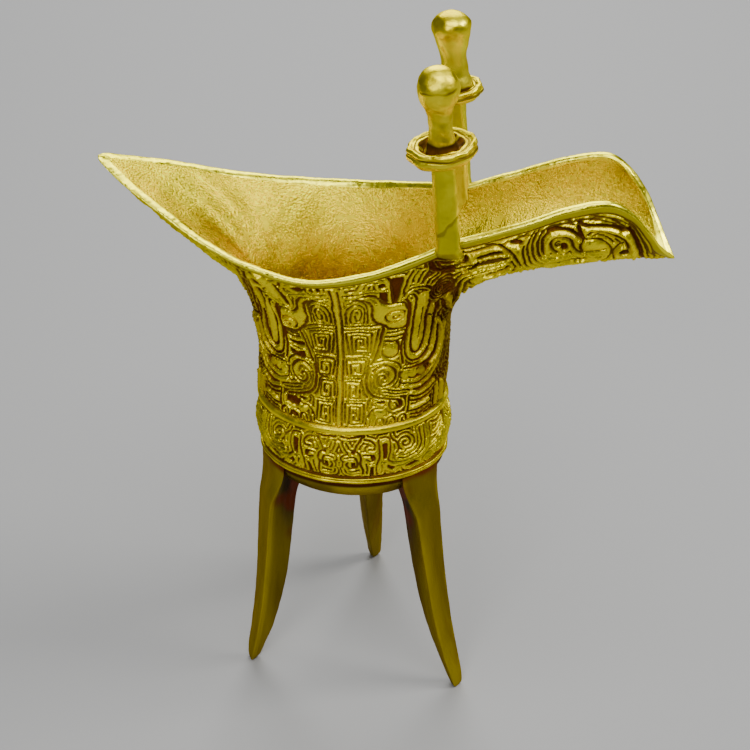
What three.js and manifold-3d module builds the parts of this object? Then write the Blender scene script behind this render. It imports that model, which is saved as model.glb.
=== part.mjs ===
// A three-legged ritual wine cup of gilt bronze: an oval bowl with a long pouring spout, a pointed
// tail opposite it, three blade legs, two capped posts on the rim and a strap handle with an ox head.
// Sizes are in millimetres. +Z is up, +X runs along the spout and +Y towards the handle. The pieces are
// laid out round the bowl's upright axis, with the ground at z = 0.
import * as THREE from 'three';
import Module from 'manifold-3d';
import { mergeVertices } from 'three/addons/utils/BufferGeometryUtils.js';

const wasm = await Module();
wasm.setup();

// The solder seam left between two castings that are joined
const SEAM = 0.3;

// Bowl: an oval barrel over a shallow domed floor
const BOWL_HALF_LENGTH = 21.8;
const BOWL_HALF_WIDTH = 17.6;
const WALL = 2;
const FLOOR_HEIGHT = 50;
const DOME_HEIGHT = 10;
const DOME_TAPER = 1.2;
const DOME_TILTS = [12, 30, 48, 64, 78];
const THROAT_HEIGHT = 95;
const THROAT_SHIFT = 0.7;

// Two raised rings with a barrel-shaped frieze between them
const LOWER_RING_HEIGHT = 61.5;
const UPPER_RING_HEIGHT = 75.4;
const RING_WIDTH = 1.9;
const RING_PROUD = 0.8;
const FRIEZE_BULGE = 1.4;

// Length of the spout's nose over which the inner edge of the mouth is raised above the outer one
const NOSE_LENGTH = 4;

// Outer edge of the mouth from the spout's tip to the tail's tip, on the handle side. Each station is
// [x, half-width, height, rise, reach, belly]: the wall climbs upright from the throat by its rise, then
// bends outwards, and the bend's pull lies at the belly's height, a share of the way out called reach.
const RIM_STATIONS = [
  [72.8, 0, 115.8, 20, 0.80, 113.0],
  [69.2, 3.0, 121.6, 20, 0.95, 112.3],
  [66.0, 6.2, 127.6, 20, 1.0, 111.2],
  [62.5, 8.8, 132.2, 19.5, 1.02, 110.8],
  [57.0, 11.1, 135.3, 19, 1.02, 111.2],
  [49.0, 11.7, 133.6, 18.5, 1.0, 111.8],
  [40.0, 11.9, 130.0, 18, 0.97, 112.8],
  [30.5, 11.9, 126.4, 16, 0.93, 111.5],
  [25.0, 14.1, 124.6, 14, 0.75, 110.5],
  [15.0, 19.1, 121.4, 11, 0.45, 110.0],
  [5.0, 22.7, 119.3, 10, 0.38, 110.0],
  [-6.4, 24.3, 118.3, 10, 0.35, 110.0],
  [-20.0, 21.4, 120.0, 11, 0.34, 110.2],
  [-30.0, 17.6, 122.6, 13, 0.33, 110.6],
  [-40.0, 12.3, 126.6, 14.5, 0.32, 111.2],
  [-50.0, 5.4, 131.2, 15, 0.32, 111.4],
  [-55.7, 0, 133.7, 15, 0.32, 111.4],
];

// Legs: three-sided blades with the flat face outwards and a ridge towards the middle. Each station is
// [height, radius of the outer face, half-width of that face, radius of the inner ridge].
const LEG_STATIONS = [
  [64, 20.6, 4.9, 12.4],
  [58, 22.0, 4.7, 13.2],
  [45, 23.6, 4.1, 15.2],
  [30, 25.2, 3.5, 17.6],
  [20, 26.6, 3.1, 19.8],
  [10, 28.6, 2.6, 23.0],
  [4, 30.1, 2.1, 26.0],
  [0, 30.9, 1.6, 28.2],
];
const LEG_TOP = 60.2;
const LEG_EDGE_BLUNT = 0.35;
const LEGS = [
  { name: 'leg_front_left', heading: 207.8, splay: -1.6 },
  { name: 'leg_front_right', heading: -32.3, splay: 1.8 },
  { name: 'leg_rear', heading: 90, splay: 1 },
];

// Posts: square shafts that straddle the rim, each with a dished collar and a knobbed finial
const NEAR_COLLAR_RADIUS = 7.4;
const FAR_COLLAR_RADIUS = 6.2;
const POSTS = [
  { side: 'near', sign: -1, collarRadius: NEAR_COLLAR_RADIUS },
  { side: 'far', sign: 1, collarRadius: FAR_COLLAR_RADIUS },
];
const POST_X = 23.6;
const POST_Y = 14.2;
const POST_FOOT = 119.5;
const POST_SEAT = 124;
const POST_LEAN = 3.7;
const SHAFT_WIDTH = 5.2;
const SHAFT_TOP_WIDTH = 4.7;
const SHAFT_CHAMFER = 0.5;
const SHAFT_SHOULDER = 143.4;
const TENON_RADIUS = 1.4;
const TENON_LENGTH = 7;

const COLLAR_UNDER_RADIUS = 3.6;
const COLLAR_DEPTH = 4.6;
const COLLAR_DISH = 1.6;
const COLLAR_LOBES = 12;
const COLLAR_LOBE_DEPTH = 0.25;

const NECK_RADIUS = 2.45;
const NECK_FOOT_RADIUS = 3.1;
const KNOB_RADIUS = 4.5;
const NECK_HEIGHT = 8.4;
const KNOB_EQUATOR = 13.8;
const FINIAL_HEIGHT = 18.1;

// Handle: a strap bowed out over the rear leg, with an ox head on its shoulder
const HANDLE_HEADING = 91;
const HANDLE_TOP = 101;
const HANDLE_BOTTOM = 69;
const HANDLE_REACH = 33;
const HANDLE_DROP = 11;
const HANDLE_WAIST = 1.2;
const STRAP_WIDTH = 8;
const STRAP_THICKNESS = 2.8;
const STRAP_CORNER = 0.6;
const HEAD_LENGTH = 13;
const HEAD_WIDTH = 8.4;
const HORN_SPAN = 13;
const HORN_THICKNESS = 2.2;

// Fineness of the facets
const RIM_STEPS = 38;
const FLARE_STEPS = 8;
const LATHE_STEPS = 24;
const STRAP_STEPS = 20;

const radians = THREE.MathUtils.degToRad;
const smooth = (value, low, high) => THREE.MathUtils.smoothstep(value, low, high);

// Closed body from rings of points, each ring running the same way round, with a fan at either end
function loft(rings) {
  const count = rings[0].length;
  const points = rings.flat();
  const middle = (ring) => ring.reduce((sum, p) => sum.add(p), new THREE.Vector3()).divideScalar(count);
  points.push(middle(rings[0]), middle(rings.at(-1)));
  const [firstPole, lastPole] = [points.length - 2, points.length - 1];
  const lastRing = (rings.length - 1) * count;
  const index = [];
  for (let i = 0; i < count; i += 1) {
    const next = (i + 1) % count;
    index.push(firstPole, next, i, lastPole, lastRing + i, lastRing + next);
    for (let row = 0; row < lastRing; row += count) {
      index.push(row + i, row + next, row + count + next, row + i, row + count + next, row + count + i);
    }
  }
  const geometry = new THREE.BufferGeometry();
  geometry.setAttribute('position', new THREE.Float32BufferAttribute(points.flatMap((p) => p.toArray()), 3));
  geometry.setIndex(index);
  return facingOut(geometry);
}

// Turns the faces of a closed body outwards
function facingOut(geometry) {
  const place = geometry.attributes.position;
  const corner = [new THREE.Vector3(), new THREE.Vector3(), new THREE.Vector3()];
  const index = Array.from(geometry.index.array);
  let volume = 0;
  for (let i = 0; i < index.length; i += 3) {
    corner.forEach((c, k) => c.fromBufferAttribute(place, index[i + k]));
    volume += corner[0].dot(corner[1].clone().cross(corner[2]));
  }
  if (volume < 0) {
    for (let i = 0; i < index.length; i += 3) [index[i + 1], index[i + 2]] = [index[i + 2], index[i + 1]];
    geometry.setIndex(index);
  }
  return geometry;
}

// A geometry as a solid that can be joined and cut
function solid(source) {
  const bare = source.clone();
  bare.deleteAttribute('normal');
  bare.deleteAttribute('uv');
  const merged = mergeVertices(bare, 1e-4);
  return new wasm.Manifold(new wasm.Mesh({
    numProp: 3,
    vertProperties: new Float32Array(merged.attributes.position.array),
    triVerts: new Uint32Array(merged.index.array),
  }));
}

// A solid back as a geometry
function geometryOf(body) {
  const mesh = body.getMesh();
  const geometry = new THREE.BufferGeometry();
  geometry.setAttribute('position', new THREE.BufferAttribute(mesh.vertProperties, 3));
  geometry.setIndex(new THREE.BufferAttribute(mesh.triVerts, 1));
  return geometry;
}

// Smooth curve through stations, giving every value of a station at a share of the way along
function stationCurve(stations) {
  const values = stations[0].length;
  const places = stations.map(([a, b, c]) => new THREE.Vector3(a, b, c));
  const path = new THREE.CatmullRomCurve3(places, false, 'centripetal');
  return (share) => {
    const along = path.getUtoTmapping(share) * (stations.length - 1);
    const start = Math.min(Math.floor(along), stations.length - 2);
    const part = along - start;
    const extra = [];
    for (let k = 3; k < values; k += 1) {
      extra.push(THREE.MathUtils.lerp(stations[start][k], stations[start + 1][k], part));
    }
    return [...path.getPoint(along / (stations.length - 1)).toArray(), ...extra];
  };
}

// The mouth's edge moved inwards in plan by a distance, with its two tips mitred
function insetRim(distance) {
  const last = RIM_STATIONS.length - 1;
  return RIM_STATIONS.map(([x, halfWidth, height, ...bend], i) => {
    const before = RIM_STATIONS[Math.max(i - 1, 0)];
    const after = RIM_STATIONS[Math.min(i + 1, last)];
    const run = new THREE.Vector2(after[0] - before[0], after[1] - before[1]).normalize();
    const fromTip = Math.min(RIM_STATIONS[0][0] - x, NOSE_LENGTH);
    const raised = height + distance * (1 - fromTip / NOSE_LENGTH);
    if (i === 0) return [x - distance / Math.abs(run.y), 0, raised, ...bend];
    if (i === last) return [x + distance / Math.abs(run.y), 0, raised, ...bend];
    return [x - run.y * distance, halfWidth + run.x * distance, raised, ...bend];
  });
}

// A level ring of the bowl: the oval grown by a swell, or shrunk to a share for the domed floor
function bowlRing(headings, height, swell, share = 1) {
  const shift = THROAT_SHIFT * smooth(height, UPPER_RING_HEIGHT, THROAT_HEIGHT);
  return headings.map((heading) => new THREE.Vector3(
    shift + (BOWL_HALF_LENGTH + swell) * share * Math.cos(heading),
    (BOWL_HALF_WIDTH + swell) * share * Math.sin(heading),
    height,
  ));
}

// Rings of the domed floor from its lowest point up to the barrel
function domeRings(headings, swell) {
  return DOME_TILTS.map((tilt) => bowlRing(
    headings,
    FLOOR_HEIGHT + DOME_HEIGHT - (DOME_HEIGHT + swell) * Math.cos(radians(tilt)),
    swell,
    Math.sin(radians(tilt)) ** DOME_TAPER,
  ));
}

// Heights of the barrel and how far the surface stands proud of the plain oval at each of them
function barrelProfile() {
  const profile = [];
  for (const [ring, name] of [[LOWER_RING_HEIGHT, 'lower'], [UPPER_RING_HEIGHT, 'upper']]) {
    for (const across of [-1, -0.6, 0, 0.6, 1]) {
      profile.push([ring + across * RING_WIDTH / 2, RING_PROUD * Math.sqrt(1 - across ** 2)]);
    }
    if (name === 'lower') {
      const low = LOWER_RING_HEIGHT + RING_WIDTH / 2;
      const high = UPPER_RING_HEIGHT - RING_WIDTH / 2;
      for (const share of [0.15, 0.38, 0.62, 0.85]) {
        profile.push([low + (high - low) * share, FRIEZE_BULGE * Math.sin(Math.PI * share)]);
      }
    }
  }
  for (const share of [0.3, 0.65, 1]) {
    profile.push([UPPER_RING_HEIGHT + (THROAT_HEIGHT - UPPER_RING_HEIGHT) * share, 0]);
  }
  return profile;
}

// Columns of the flare: each rises from the throat to its own point of the mouth's edge
function flareColumns(inset) {
  const edge = stationCurve(insetRim(inset));
  const half = [];
  for (let i = 0; i <= RIM_STEPS; i += 1) half.push(edge(i / RIM_STEPS));
  const mirrored = half.slice(1, -1).reverse().map(([x, y, ...rest]) => [x, -y, ...rest]);
  return [...half, ...mirrored].map(([x, y, height, rise, reach, belly]) => {
    const heading = Math.atan2(y / BOWL_HALF_WIDTH, (x - THROAT_SHIFT) / BOWL_HALF_LENGTH);
    const foot = bowlRing([heading], THROAT_HEIGHT, -inset)[0];
    const tip = new THREE.Vector3(x, y, height);
    const bend = foot.clone().lerp(tip, reach).setZ(belly + inset);
    const upright = foot.clone().setZ(THROAT_HEIGHT + rise + inset * 0.6);
    return { heading, curve: new THREE.CubicBezierCurve3(foot, upright, bend, tip) };
  });
}

// One skin of the vessel, from the floor up to the mouth's edge
function vesselSkin(inset, profile) {
  const columns = flareColumns(inset);
  const headings = columns.map((column) => column.heading);
  const rings = domeRings(headings, -inset);
  for (const [height, proud] of profile) rings.push(bowlRing(headings, height, proud - inset));
  for (let i = 1; i <= FLARE_STEPS; i += 1) {
    rings.push(columns.map((column) => column.curve.getPoint(i / FLARE_STEPS)));
  }
  return rings;
}

const plainProfile = () => [LOWER_RING_HEIGHT, UPPER_RING_HEIGHT, THROAT_HEIGHT].map((height) => [height, 0]);

// The whole vessel as one thin casting; grown by a seam on both faces it serves as a cutter
function vesselGeometry(grow = 0) {
  const outside = vesselSkin(-grow, barrelProfile());
  const inside = vesselSkin(WALL + grow, plainProfile());
  for (const ring of [outside.at(-1), inside.at(-1)]) ring.forEach((point) => point.setZ(point.z + grow));
  return loft([...outside, ...inside.reverse()]);
}

// The vessel without its hollow, grown by a seam and seen from a piece's own frame, as a cutter for
// pieces that only meet its outside
const vesselBlock = (frame) => solid(loft(vesselSkin(-SEAM, barrelProfile())).applyMatrix4(frame));

// A blade leg in its own frame, with +X pointing away from the bowl's axis
function legGeometry(splay) {
  const rings = LEG_STATIONS.map(([height, face, halfWidth, ridge]) => {
    const out = splay * (1 - height / LEG_TOP) ** 2 * Number(height < LEG_TOP);
    const outline = [
      [face + out, -halfWidth], [face + out, halfWidth], [ridge + out, 0],
    ].map(([x, y]) => new THREE.Vector3(x, y, Math.min(height, LEG_TOP)));
    return outline.flatMap((corner, i) => {
      const previous = outline[(i + 2) % 3];
      const next = outline[(i + 1) % 3];
      const towards = (other) => corner.clone().lerp(other, LEG_EDGE_BLUNT / corner.distanceTo(other));
      return [towards(previous), towards(next)];
    });
  });
  return loft(rings);
}

function legMesh({ name, heading, splay }) {
  const bowl = vesselBlock(new THREE.Matrix4().makeRotationZ(-radians(heading)));
  const leg = solid(legGeometry(splay)).subtract(bowl);
  const mesh = new THREE.Mesh(geometryOf(largest(leg)), metal(0xb59a2c, 0.42));
  mesh.name = name;
  mesh.rotation.z = radians(heading);
  return mesh;
}

// The biggest body of a cut solid, without slivers
function largest(body) {
  return body.decompose().reduce((best, piece) => (piece.volume() > best.volume() ? piece : best));
}

function metal(color, roughness) {
  return new THREE.MeshStandardMaterial({ color, roughness, metalness: 1 });
}

// A square shaft with blunted corners whose foot is notched over the rim, and a round tenon on top
function shaftGeometry() {
  const ring = (width, height) => {
    const half = width / 2;
    const cut = half - SHAFT_CHAMFER;
    return [[half, -cut], [half, cut], [cut, half], [-cut, half], [-half, cut], [-half, -cut], [-cut, -half],
      [cut, -half]].map(([x, y]) => new THREE.Vector3(x, y, height));
  };
  const shaft = loft([
    ring(SHAFT_WIDTH, POST_FOOT - POST_SEAT),
    ring(SHAFT_TOP_WIDTH, SHAFT_SHOULDER - POST_SEAT),
  ]);
  const tenon = new THREE.CylinderGeometry(TENON_RADIUS, TENON_RADIUS, TENON_LENGTH + SHAFT_CHAMFER, 12)
    .rotateX(Math.PI / 2)
    .translate(0, 0, SHAFT_SHOULDER - POST_SEAT + (TENON_LENGTH - SHAFT_CHAMFER) / 2);
  return solid(shaft).add(solid(tenon));
}

// A dished collar with a lobed edge, bored for the tenon; z = 0 is its underside
function collarGeometry(edge) {
  const bore = TENON_RADIUS + SEAM;
  const profile = [
    [bore, 0], [COLLAR_UNDER_RADIUS, 0], [edge * 0.84, COLLAR_DEPTH * 0.2],
    [edge, COLLAR_DEPTH * 0.42], [edge * 0.97, COLLAR_DEPTH * 0.6],
    [edge, COLLAR_DEPTH * 0.76], [edge * 0.93, COLLAR_DEPTH],
    [edge * 0.8, COLLAR_DEPTH], [edge * 0.64, COLLAR_DEPTH - COLLAR_DISH],
    [bore, COLLAR_DEPTH - COLLAR_DISH], [bore, 0],
  ].map(([x, y]) => new THREE.Vector2(x, y));
  const collar = new THREE.LatheGeometry(profile, LATHE_STEPS).rotateX(Math.PI / 2);
  const place = collar.attributes.position;
  for (let i = 0; i < place.count; i += 1) {
    const radius = Math.hypot(place.getX(i), place.getY(i));
    const lobe = COLLAR_LOBE_DEPTH * smooth(radius, edge * 0.7, edge);
    const share = 1 + lobe * Math.cos(COLLAR_LOBES * Math.atan2(place.getY(i), place.getX(i))) / radius;
    place.setXY(i, place.getX(i) * share, place.getY(i) * share);
  }
  return geometryOf(solid(facingOut(collar)));
}

// A waisted neck under a flattened knob, with a socket for the tenon; z = 0 is its foot
function finialGeometry() {
  const outline = new THREE.SplineCurve([
    [NECK_FOOT_RADIUS, 0], [NECK_RADIUS * 1.08, NECK_HEIGHT * 0.35], [NECK_RADIUS, NECK_HEIGHT * 0.62],
    [NECK_RADIUS * 1.25, NECK_HEIGHT], [KNOB_RADIUS * 0.86, KNOB_EQUATOR * 0.8],
    [KNOB_RADIUS, KNOB_EQUATOR], [KNOB_RADIUS * 0.86, (KNOB_EQUATOR + FINIAL_HEIGHT) / 2 + 0.4],
    [KNOB_RADIUS * 0.4, FINIAL_HEIGHT - 0.35], [0, FINIAL_HEIGHT],
  ].map(([x, y]) => new THREE.Vector2(x, y)));
  const bore = TENON_RADIUS + SEAM;
  const depth = TENON_LENGTH - (COLLAR_DEPTH - COLLAR_DISH);
  const socket = [[0, depth], [bore, depth], [bore, 0]].map(([x, y]) => new THREE.Vector2(x, y));
  const skin = outline.getPoints(15);
  skin.at(-1).setX(0);
  return facingOut(mergedLathe([...socket, ...skin]));
}

// A lathed body whose profile starts and ends on the axis, with its shared vertices merged
function mergedLathe(profile) {
  const lathe = new THREE.LatheGeometry(profile, LATHE_STEPS).rotateX(Math.PI / 2);
  return facingOut(geometryOf(solid(lathe)));
}

function postGroup({ side, sign, collarRadius }) {
  const post = new THREE.Group();
  post.position.set(POST_X, sign * POST_Y, POST_SEAT);
  post.rotation.y = -radians(POST_LEAN);
  post.updateMatrix();
  const rim = solid(vesselGeometry(SEAM).applyMatrix4(post.matrix.clone().invert()));
  const shaft = new THREE.Mesh(geometryOf(largest(shaftGeometry().subtract(rim))), metal(0xb8a22e, 0.4));
  shaft.name = `post_shaft_${side}`;
  const collar = new THREE.Mesh(collarGeometry(collarRadius), metal(0xb48f2a, 0.45));
  collar.name = `post_collar_${side}`;
  collar.position.z = SHAFT_SHOULDER - POST_SEAT + SEAM;
  const finial = new THREE.Mesh(finialGeometry(), metal(0xd2b13a, 0.32));
  finial.name = `post_finial_${side}`;
  finial.position.z = collar.position.z + COLLAR_DEPTH - COLLAR_DISH + SEAM;
  post.add(shaft, collar, finial);
  return post;
}

// Path of the strap in its own frame, with +X pointing away from the bowl's axis
function strapPath() {
  const inside = BOWL_HALF_WIDTH - WALL;
  const out = HANDLE_REACH - STRAP_THICKNESS / 2;
  return new THREE.CatmullRomCurve3([
    [inside, HANDLE_TOP - 1.5], [BOWL_HALF_WIDTH + 4, HANDLE_TOP], [out - 3.2, HANDLE_TOP - 3.4],
    [out, HANDLE_TOP - HANDLE_DROP], [out - HANDLE_WAIST, (HANDLE_TOP + HANDLE_BOTTOM) / 2 - 2],
    [out - 5, HANDLE_BOTTOM + 4.5], [BOWL_HALF_WIDTH + 3.6, HANDLE_BOTTOM], [inside, HANDLE_BOTTOM - 1],
  ].map(([x, z]) => new THREE.Vector3(x, 0, z)), false, 'centripetal');
}

// Solid strap along its path, with blunted edges; grown by a seam it cuts the ox head
function strapGeometry(grow = 0) {
  const path = strapPath();
  const width = STRAP_WIDTH / 2 + grow;
  const thick = STRAP_THICKNESS / 2 + grow;
  const rings = [];
  for (let i = 0; i <= STRAP_STEPS; i += 1) {
    const centre = path.getPointAt(i / STRAP_STEPS);
    const along = path.getTangentAt(i / STRAP_STEPS);
    const out = new THREE.Vector3(along.z, 0, -along.x);
    rings.push([
      [-width, -thick + STRAP_CORNER], [-width + STRAP_CORNER, -thick], [width - STRAP_CORNER, -thick],
      [width, -thick + STRAP_CORNER], [width, thick - STRAP_CORNER], [width - STRAP_CORNER, thick],
      [-width + STRAP_CORNER, thick], [-width, thick - STRAP_CORNER],
    ].map(([side, lift]) => centre.clone().addScaledVector(out, lift).add(new THREE.Vector3(0, side, 0))));
  }
  return loft(rings);
}

// A ball stretched to three half-sizes, turned about Y and placed
function ball([x, y, z], tilt, [placeX, placeY, placeZ]) {
  return solid(new THREE.SphereGeometry(1, 16, 10).scale(x, y, z).rotateY(radians(tilt))
    .translate(placeX, placeY, placeZ));
}

// A horn swept up and outwards from the brow, thinning to its tip
function horn(side, base) {
  const path = new THREE.QuadraticBezierCurve3(
    base,
    base.clone().add(new THREE.Vector3(0.6, side * HORN_SPAN * 0.3, 0.4)),
    base.clone().add(new THREE.Vector3(0.2, side * HORN_SPAN * 0.36, HORN_SPAN * 0.3)),
  );
  const rings = [];
  for (let i = 0; i <= 6; i += 1) {
    const along = path.getTangent(i / 6);
    const across = new THREE.Vector3(1, 0, 0).cross(along).normalize();
    const girth = HORN_THICKNESS / 2 * (1 - 0.8 * i / 6);
    const ring = [];
    for (let k = 0; k < 8; k += 1) {
      const angle = k * Math.PI / 4;
      ring.push(path.getPoint(i / 6).addScaledVector(across, girth * Math.cos(angle))
        .add(new THREE.Vector3(girth * Math.sin(angle), 0, 0)));
    }
    rings.push(ring);
  }
  return solid(loft(rings));
}

// Ox head lying over the strap's shoulder: skull, tapering muzzle, brows, ears and horns in one casting
function headSolid() {
  const tilt = 38;
  const shoulder = new THREE.Vector3(BOWL_HALF_WIDTH + 6.2, 0, HANDLE_TOP + 1.4);
  const ahead = new THREE.Vector3(Math.cos(radians(tilt)), 0, -Math.sin(radians(tilt)));
  const above = new THREE.Vector3(Math.sin(radians(tilt)), 0, Math.cos(radians(tilt)));
  const at = (length, side, lift) => shoulder.clone().addScaledVector(ahead, length * HEAD_LENGTH)
    .addScaledVector(above, lift).setY(side * HEAD_WIDTH);
  let head = ball([HEAD_LENGTH * 0.36, HEAD_WIDTH / 2, 3.1], tilt, at(-0.1, 0, 0).toArray());
  head = head.add(ball([HEAD_LENGTH * 0.42, HEAD_WIDTH * 0.36, 2.6], tilt, at(0.2, 0, 0).toArray()));
  head = head.add(ball([HEAD_LENGTH * 0.15, HEAD_WIDTH * 0.4, 2.5], tilt, at(0.48, 0, 0).toArray()));
  for (const side of [-1, 1]) {
    head = head.add(ball([1.5, 1.4, 1.4], tilt, at(-0.08, side * 0.34, 1.9).toArray()));
    head = head.add(ball([1.1, 2.4, 0.9], tilt, at(-0.24, side * 0.62, 0.3).toArray()));
    head = head.add(horn(side, at(-0.26, side * 0.3, 1.8)));
  }
  return head;
}

function handleGroup() {
  const handle = new THREE.Group();
  handle.rotation.z = radians(HANDLE_HEADING);
  handle.updateMatrix();
  const bowl = vesselBlock(handle.matrix.clone().invert());
  const cutStrap = largest(solid(strapGeometry()).subtract(bowl));
  const strap = new THREE.Mesh(geometryOf(cutStrap), metal(0xb79a2d, 0.42));
  strap.name = 'handle_strap';
  const cutHead = headSolid().subtract(solid(strapGeometry(SEAM))).subtract(bowl);
  const head = new THREE.Mesh(geometryOf(largest(cutHead)), metal(0xc0a231, 0.4));
  head.name = 'handle_ox_head';
  handle.add(strap, head);
  return handle;
}

function vesselMesh() {
  const mesh = new THREE.Mesh(vesselGeometry(), metal(0xbfa52f, 0.42));
  mesh.name = 'vessel_body';
  return mesh;
}

const cup = new THREE.Group();
cup.add(vesselMesh(), ...LEGS.map(legMesh), ...POSTS.map(postGroup), handleGroup());

// The cup stands on the ground with the middle of its plan over the origin
const reach = new THREE.Box3().setFromObject(cup, true);
const middle = reach.getCenter(new THREE.Vector3());
cup.position.set(-middle.x, -middle.y, -reach.min.z);

export default cup;
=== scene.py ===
"""A three-legged ritual wine cup of gilt bronze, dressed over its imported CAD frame.

The cup is built in millimetres round the upright axis of its bowl, with +Z up, +X along the pouring
spout and +Y towards the handle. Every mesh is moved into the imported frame, in metres, as it is made.
"""
import logging
import math
import re
from collections.abc import Callable, Iterator
from contextlib import contextmanager
from dataclasses import dataclass, replace
from enum import Enum
from functools import cache

import bmesh
import bpy
import numpy as np
from mathutils import Matrix, Vector


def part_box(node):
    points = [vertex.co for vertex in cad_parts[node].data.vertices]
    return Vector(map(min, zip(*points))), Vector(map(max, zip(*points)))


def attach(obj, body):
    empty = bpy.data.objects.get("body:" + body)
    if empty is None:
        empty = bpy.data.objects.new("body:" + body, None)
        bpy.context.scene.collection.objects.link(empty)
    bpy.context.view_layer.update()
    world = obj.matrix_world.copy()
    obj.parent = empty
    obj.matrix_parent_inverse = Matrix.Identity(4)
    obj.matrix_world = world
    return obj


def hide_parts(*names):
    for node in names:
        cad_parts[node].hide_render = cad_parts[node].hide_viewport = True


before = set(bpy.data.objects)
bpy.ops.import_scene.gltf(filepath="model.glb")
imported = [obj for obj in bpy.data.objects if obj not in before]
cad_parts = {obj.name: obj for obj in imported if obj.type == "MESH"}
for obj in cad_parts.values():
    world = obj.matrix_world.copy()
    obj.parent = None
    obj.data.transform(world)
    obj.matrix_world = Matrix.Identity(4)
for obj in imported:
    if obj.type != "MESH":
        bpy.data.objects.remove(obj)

log = logging.getLogger("wine_cup")
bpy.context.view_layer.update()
MM = 0.001
SPOUT_REACH = 72.8
MOUTH_HALF = 24.3

Plan = tuple[float, float]


def smoothstep(value: np.ndarray, low: float, high: float) -> np.ndarray:
    """Smooth rise from 0 at the low value to 1 at the high one."""
    share = np.clip((np.asarray(value, float) - low) / (high - low), 0.0, 1.0)
    return share * share * (3.0 - 2.0 * share)


def fall(value: np.ndarray, low: float, high: float) -> np.ndarray:
    """Smooth fall from 1 at the low value to 0 at the high one."""
    return 1 - smoothstep(value, low, high)


def near(gap: np.ndarray, core: float, edge: float) -> np.ndarray:
    """1 where a gap is within the core, falling smoothly to 0 at the edge."""
    return fall(np.abs(gap), core, edge)


def linear(*screen: int) -> tuple[float, ...]:
    """The linear colour with full alpha that a shader takes, from screen values from 0 to 255."""
    shares = (value / 255.0 for value in screen)
    return (*(s / 12.92 if s <= 0.04045 else ((s + 0.055) / 1.055) ** 2.4 for s in shares), 1.0)


def path(text: str) -> list[Plan]:
    """Reads the points of a line from text such as "1,2 3,4"."""
    return [tuple(float(value) for value in pair.split(",")) for pair in text.split()]


def flowing(points: list[Plan], step: float = 0.08) -> np.ndarray:
    """Runs a smooth curve through points and samples it evenly.

    Args:
        points: the points that the curve passes through.
        step: the distance between samples.

    Returns:
        An array of sampled points.
    """
    knots = np.asarray(points, float)
    if len(knots) < 3:
        return straight(points, step)
    padded = np.vstack([2 * knots[0] - knots[1], knots, 2 * knots[-1] - knots[-2]])
    runs = []
    for i in range(len(knots) - 1):
        before, start, end, after = padded[i:i + 4]
        count = max(int(np.linalg.norm(end - start) / step), 2)
        t = np.linspace(0, 1, count, endpoint=False)[:, None]
        runs.append(0.5 * (2 * start + (end - before) * t
                           + (2 * before - 5 * start + 4 * end - after) * t ** 2
                           + (3 * start - before - 3 * end + after) * t ** 3))
    return np.vstack([*runs, knots[-1:]])


def straight(points: list[Plan], step: float = 0.08) -> np.ndarray:
    """Samples a line of straight runs evenly.

    Args:
        points: the corners of the line.
        step: the distance between samples.

    Returns:
        An array of sampled points.
    """
    corners = np.asarray(points, float)
    runs = []
    for start, end in zip(corners[:-1], corners[1:]):
        count = max(int(np.linalg.norm(end - start) / step), 1)
        runs.append(start + (end - start) * np.linspace(0, 1, count, endpoint=False)[:, None])
    return np.vstack([*runs, corners[-1:]])


@dataclass(frozen=True)
class Waver:
    """A smooth wandering value through space, the same on every run."""
    seed: int
    size: float
    waves: int = 8

    def __call__(self, points: np.ndarray) -> np.ndarray:
        """The value at each point, mostly between -1 and 1.

        Args:
            points: places, in the last axis of the array.

        Returns:
            An array without the last axis.
        """
        draw = np.random.default_rng(self.seed)
        total = np.zeros(points.shape[:-1])
        for _ in range(self.waves):
            course = draw.normal(size=points.shape[-1])
            course *= 2 * math.pi / self.size * draw.uniform(0.6, 1.5) / np.linalg.norm(course)
            total += np.sin(points @ course + draw.uniform(0, 2 * math.pi))
        return total / math.sqrt(self.waves)


# The vessel's form

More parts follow.
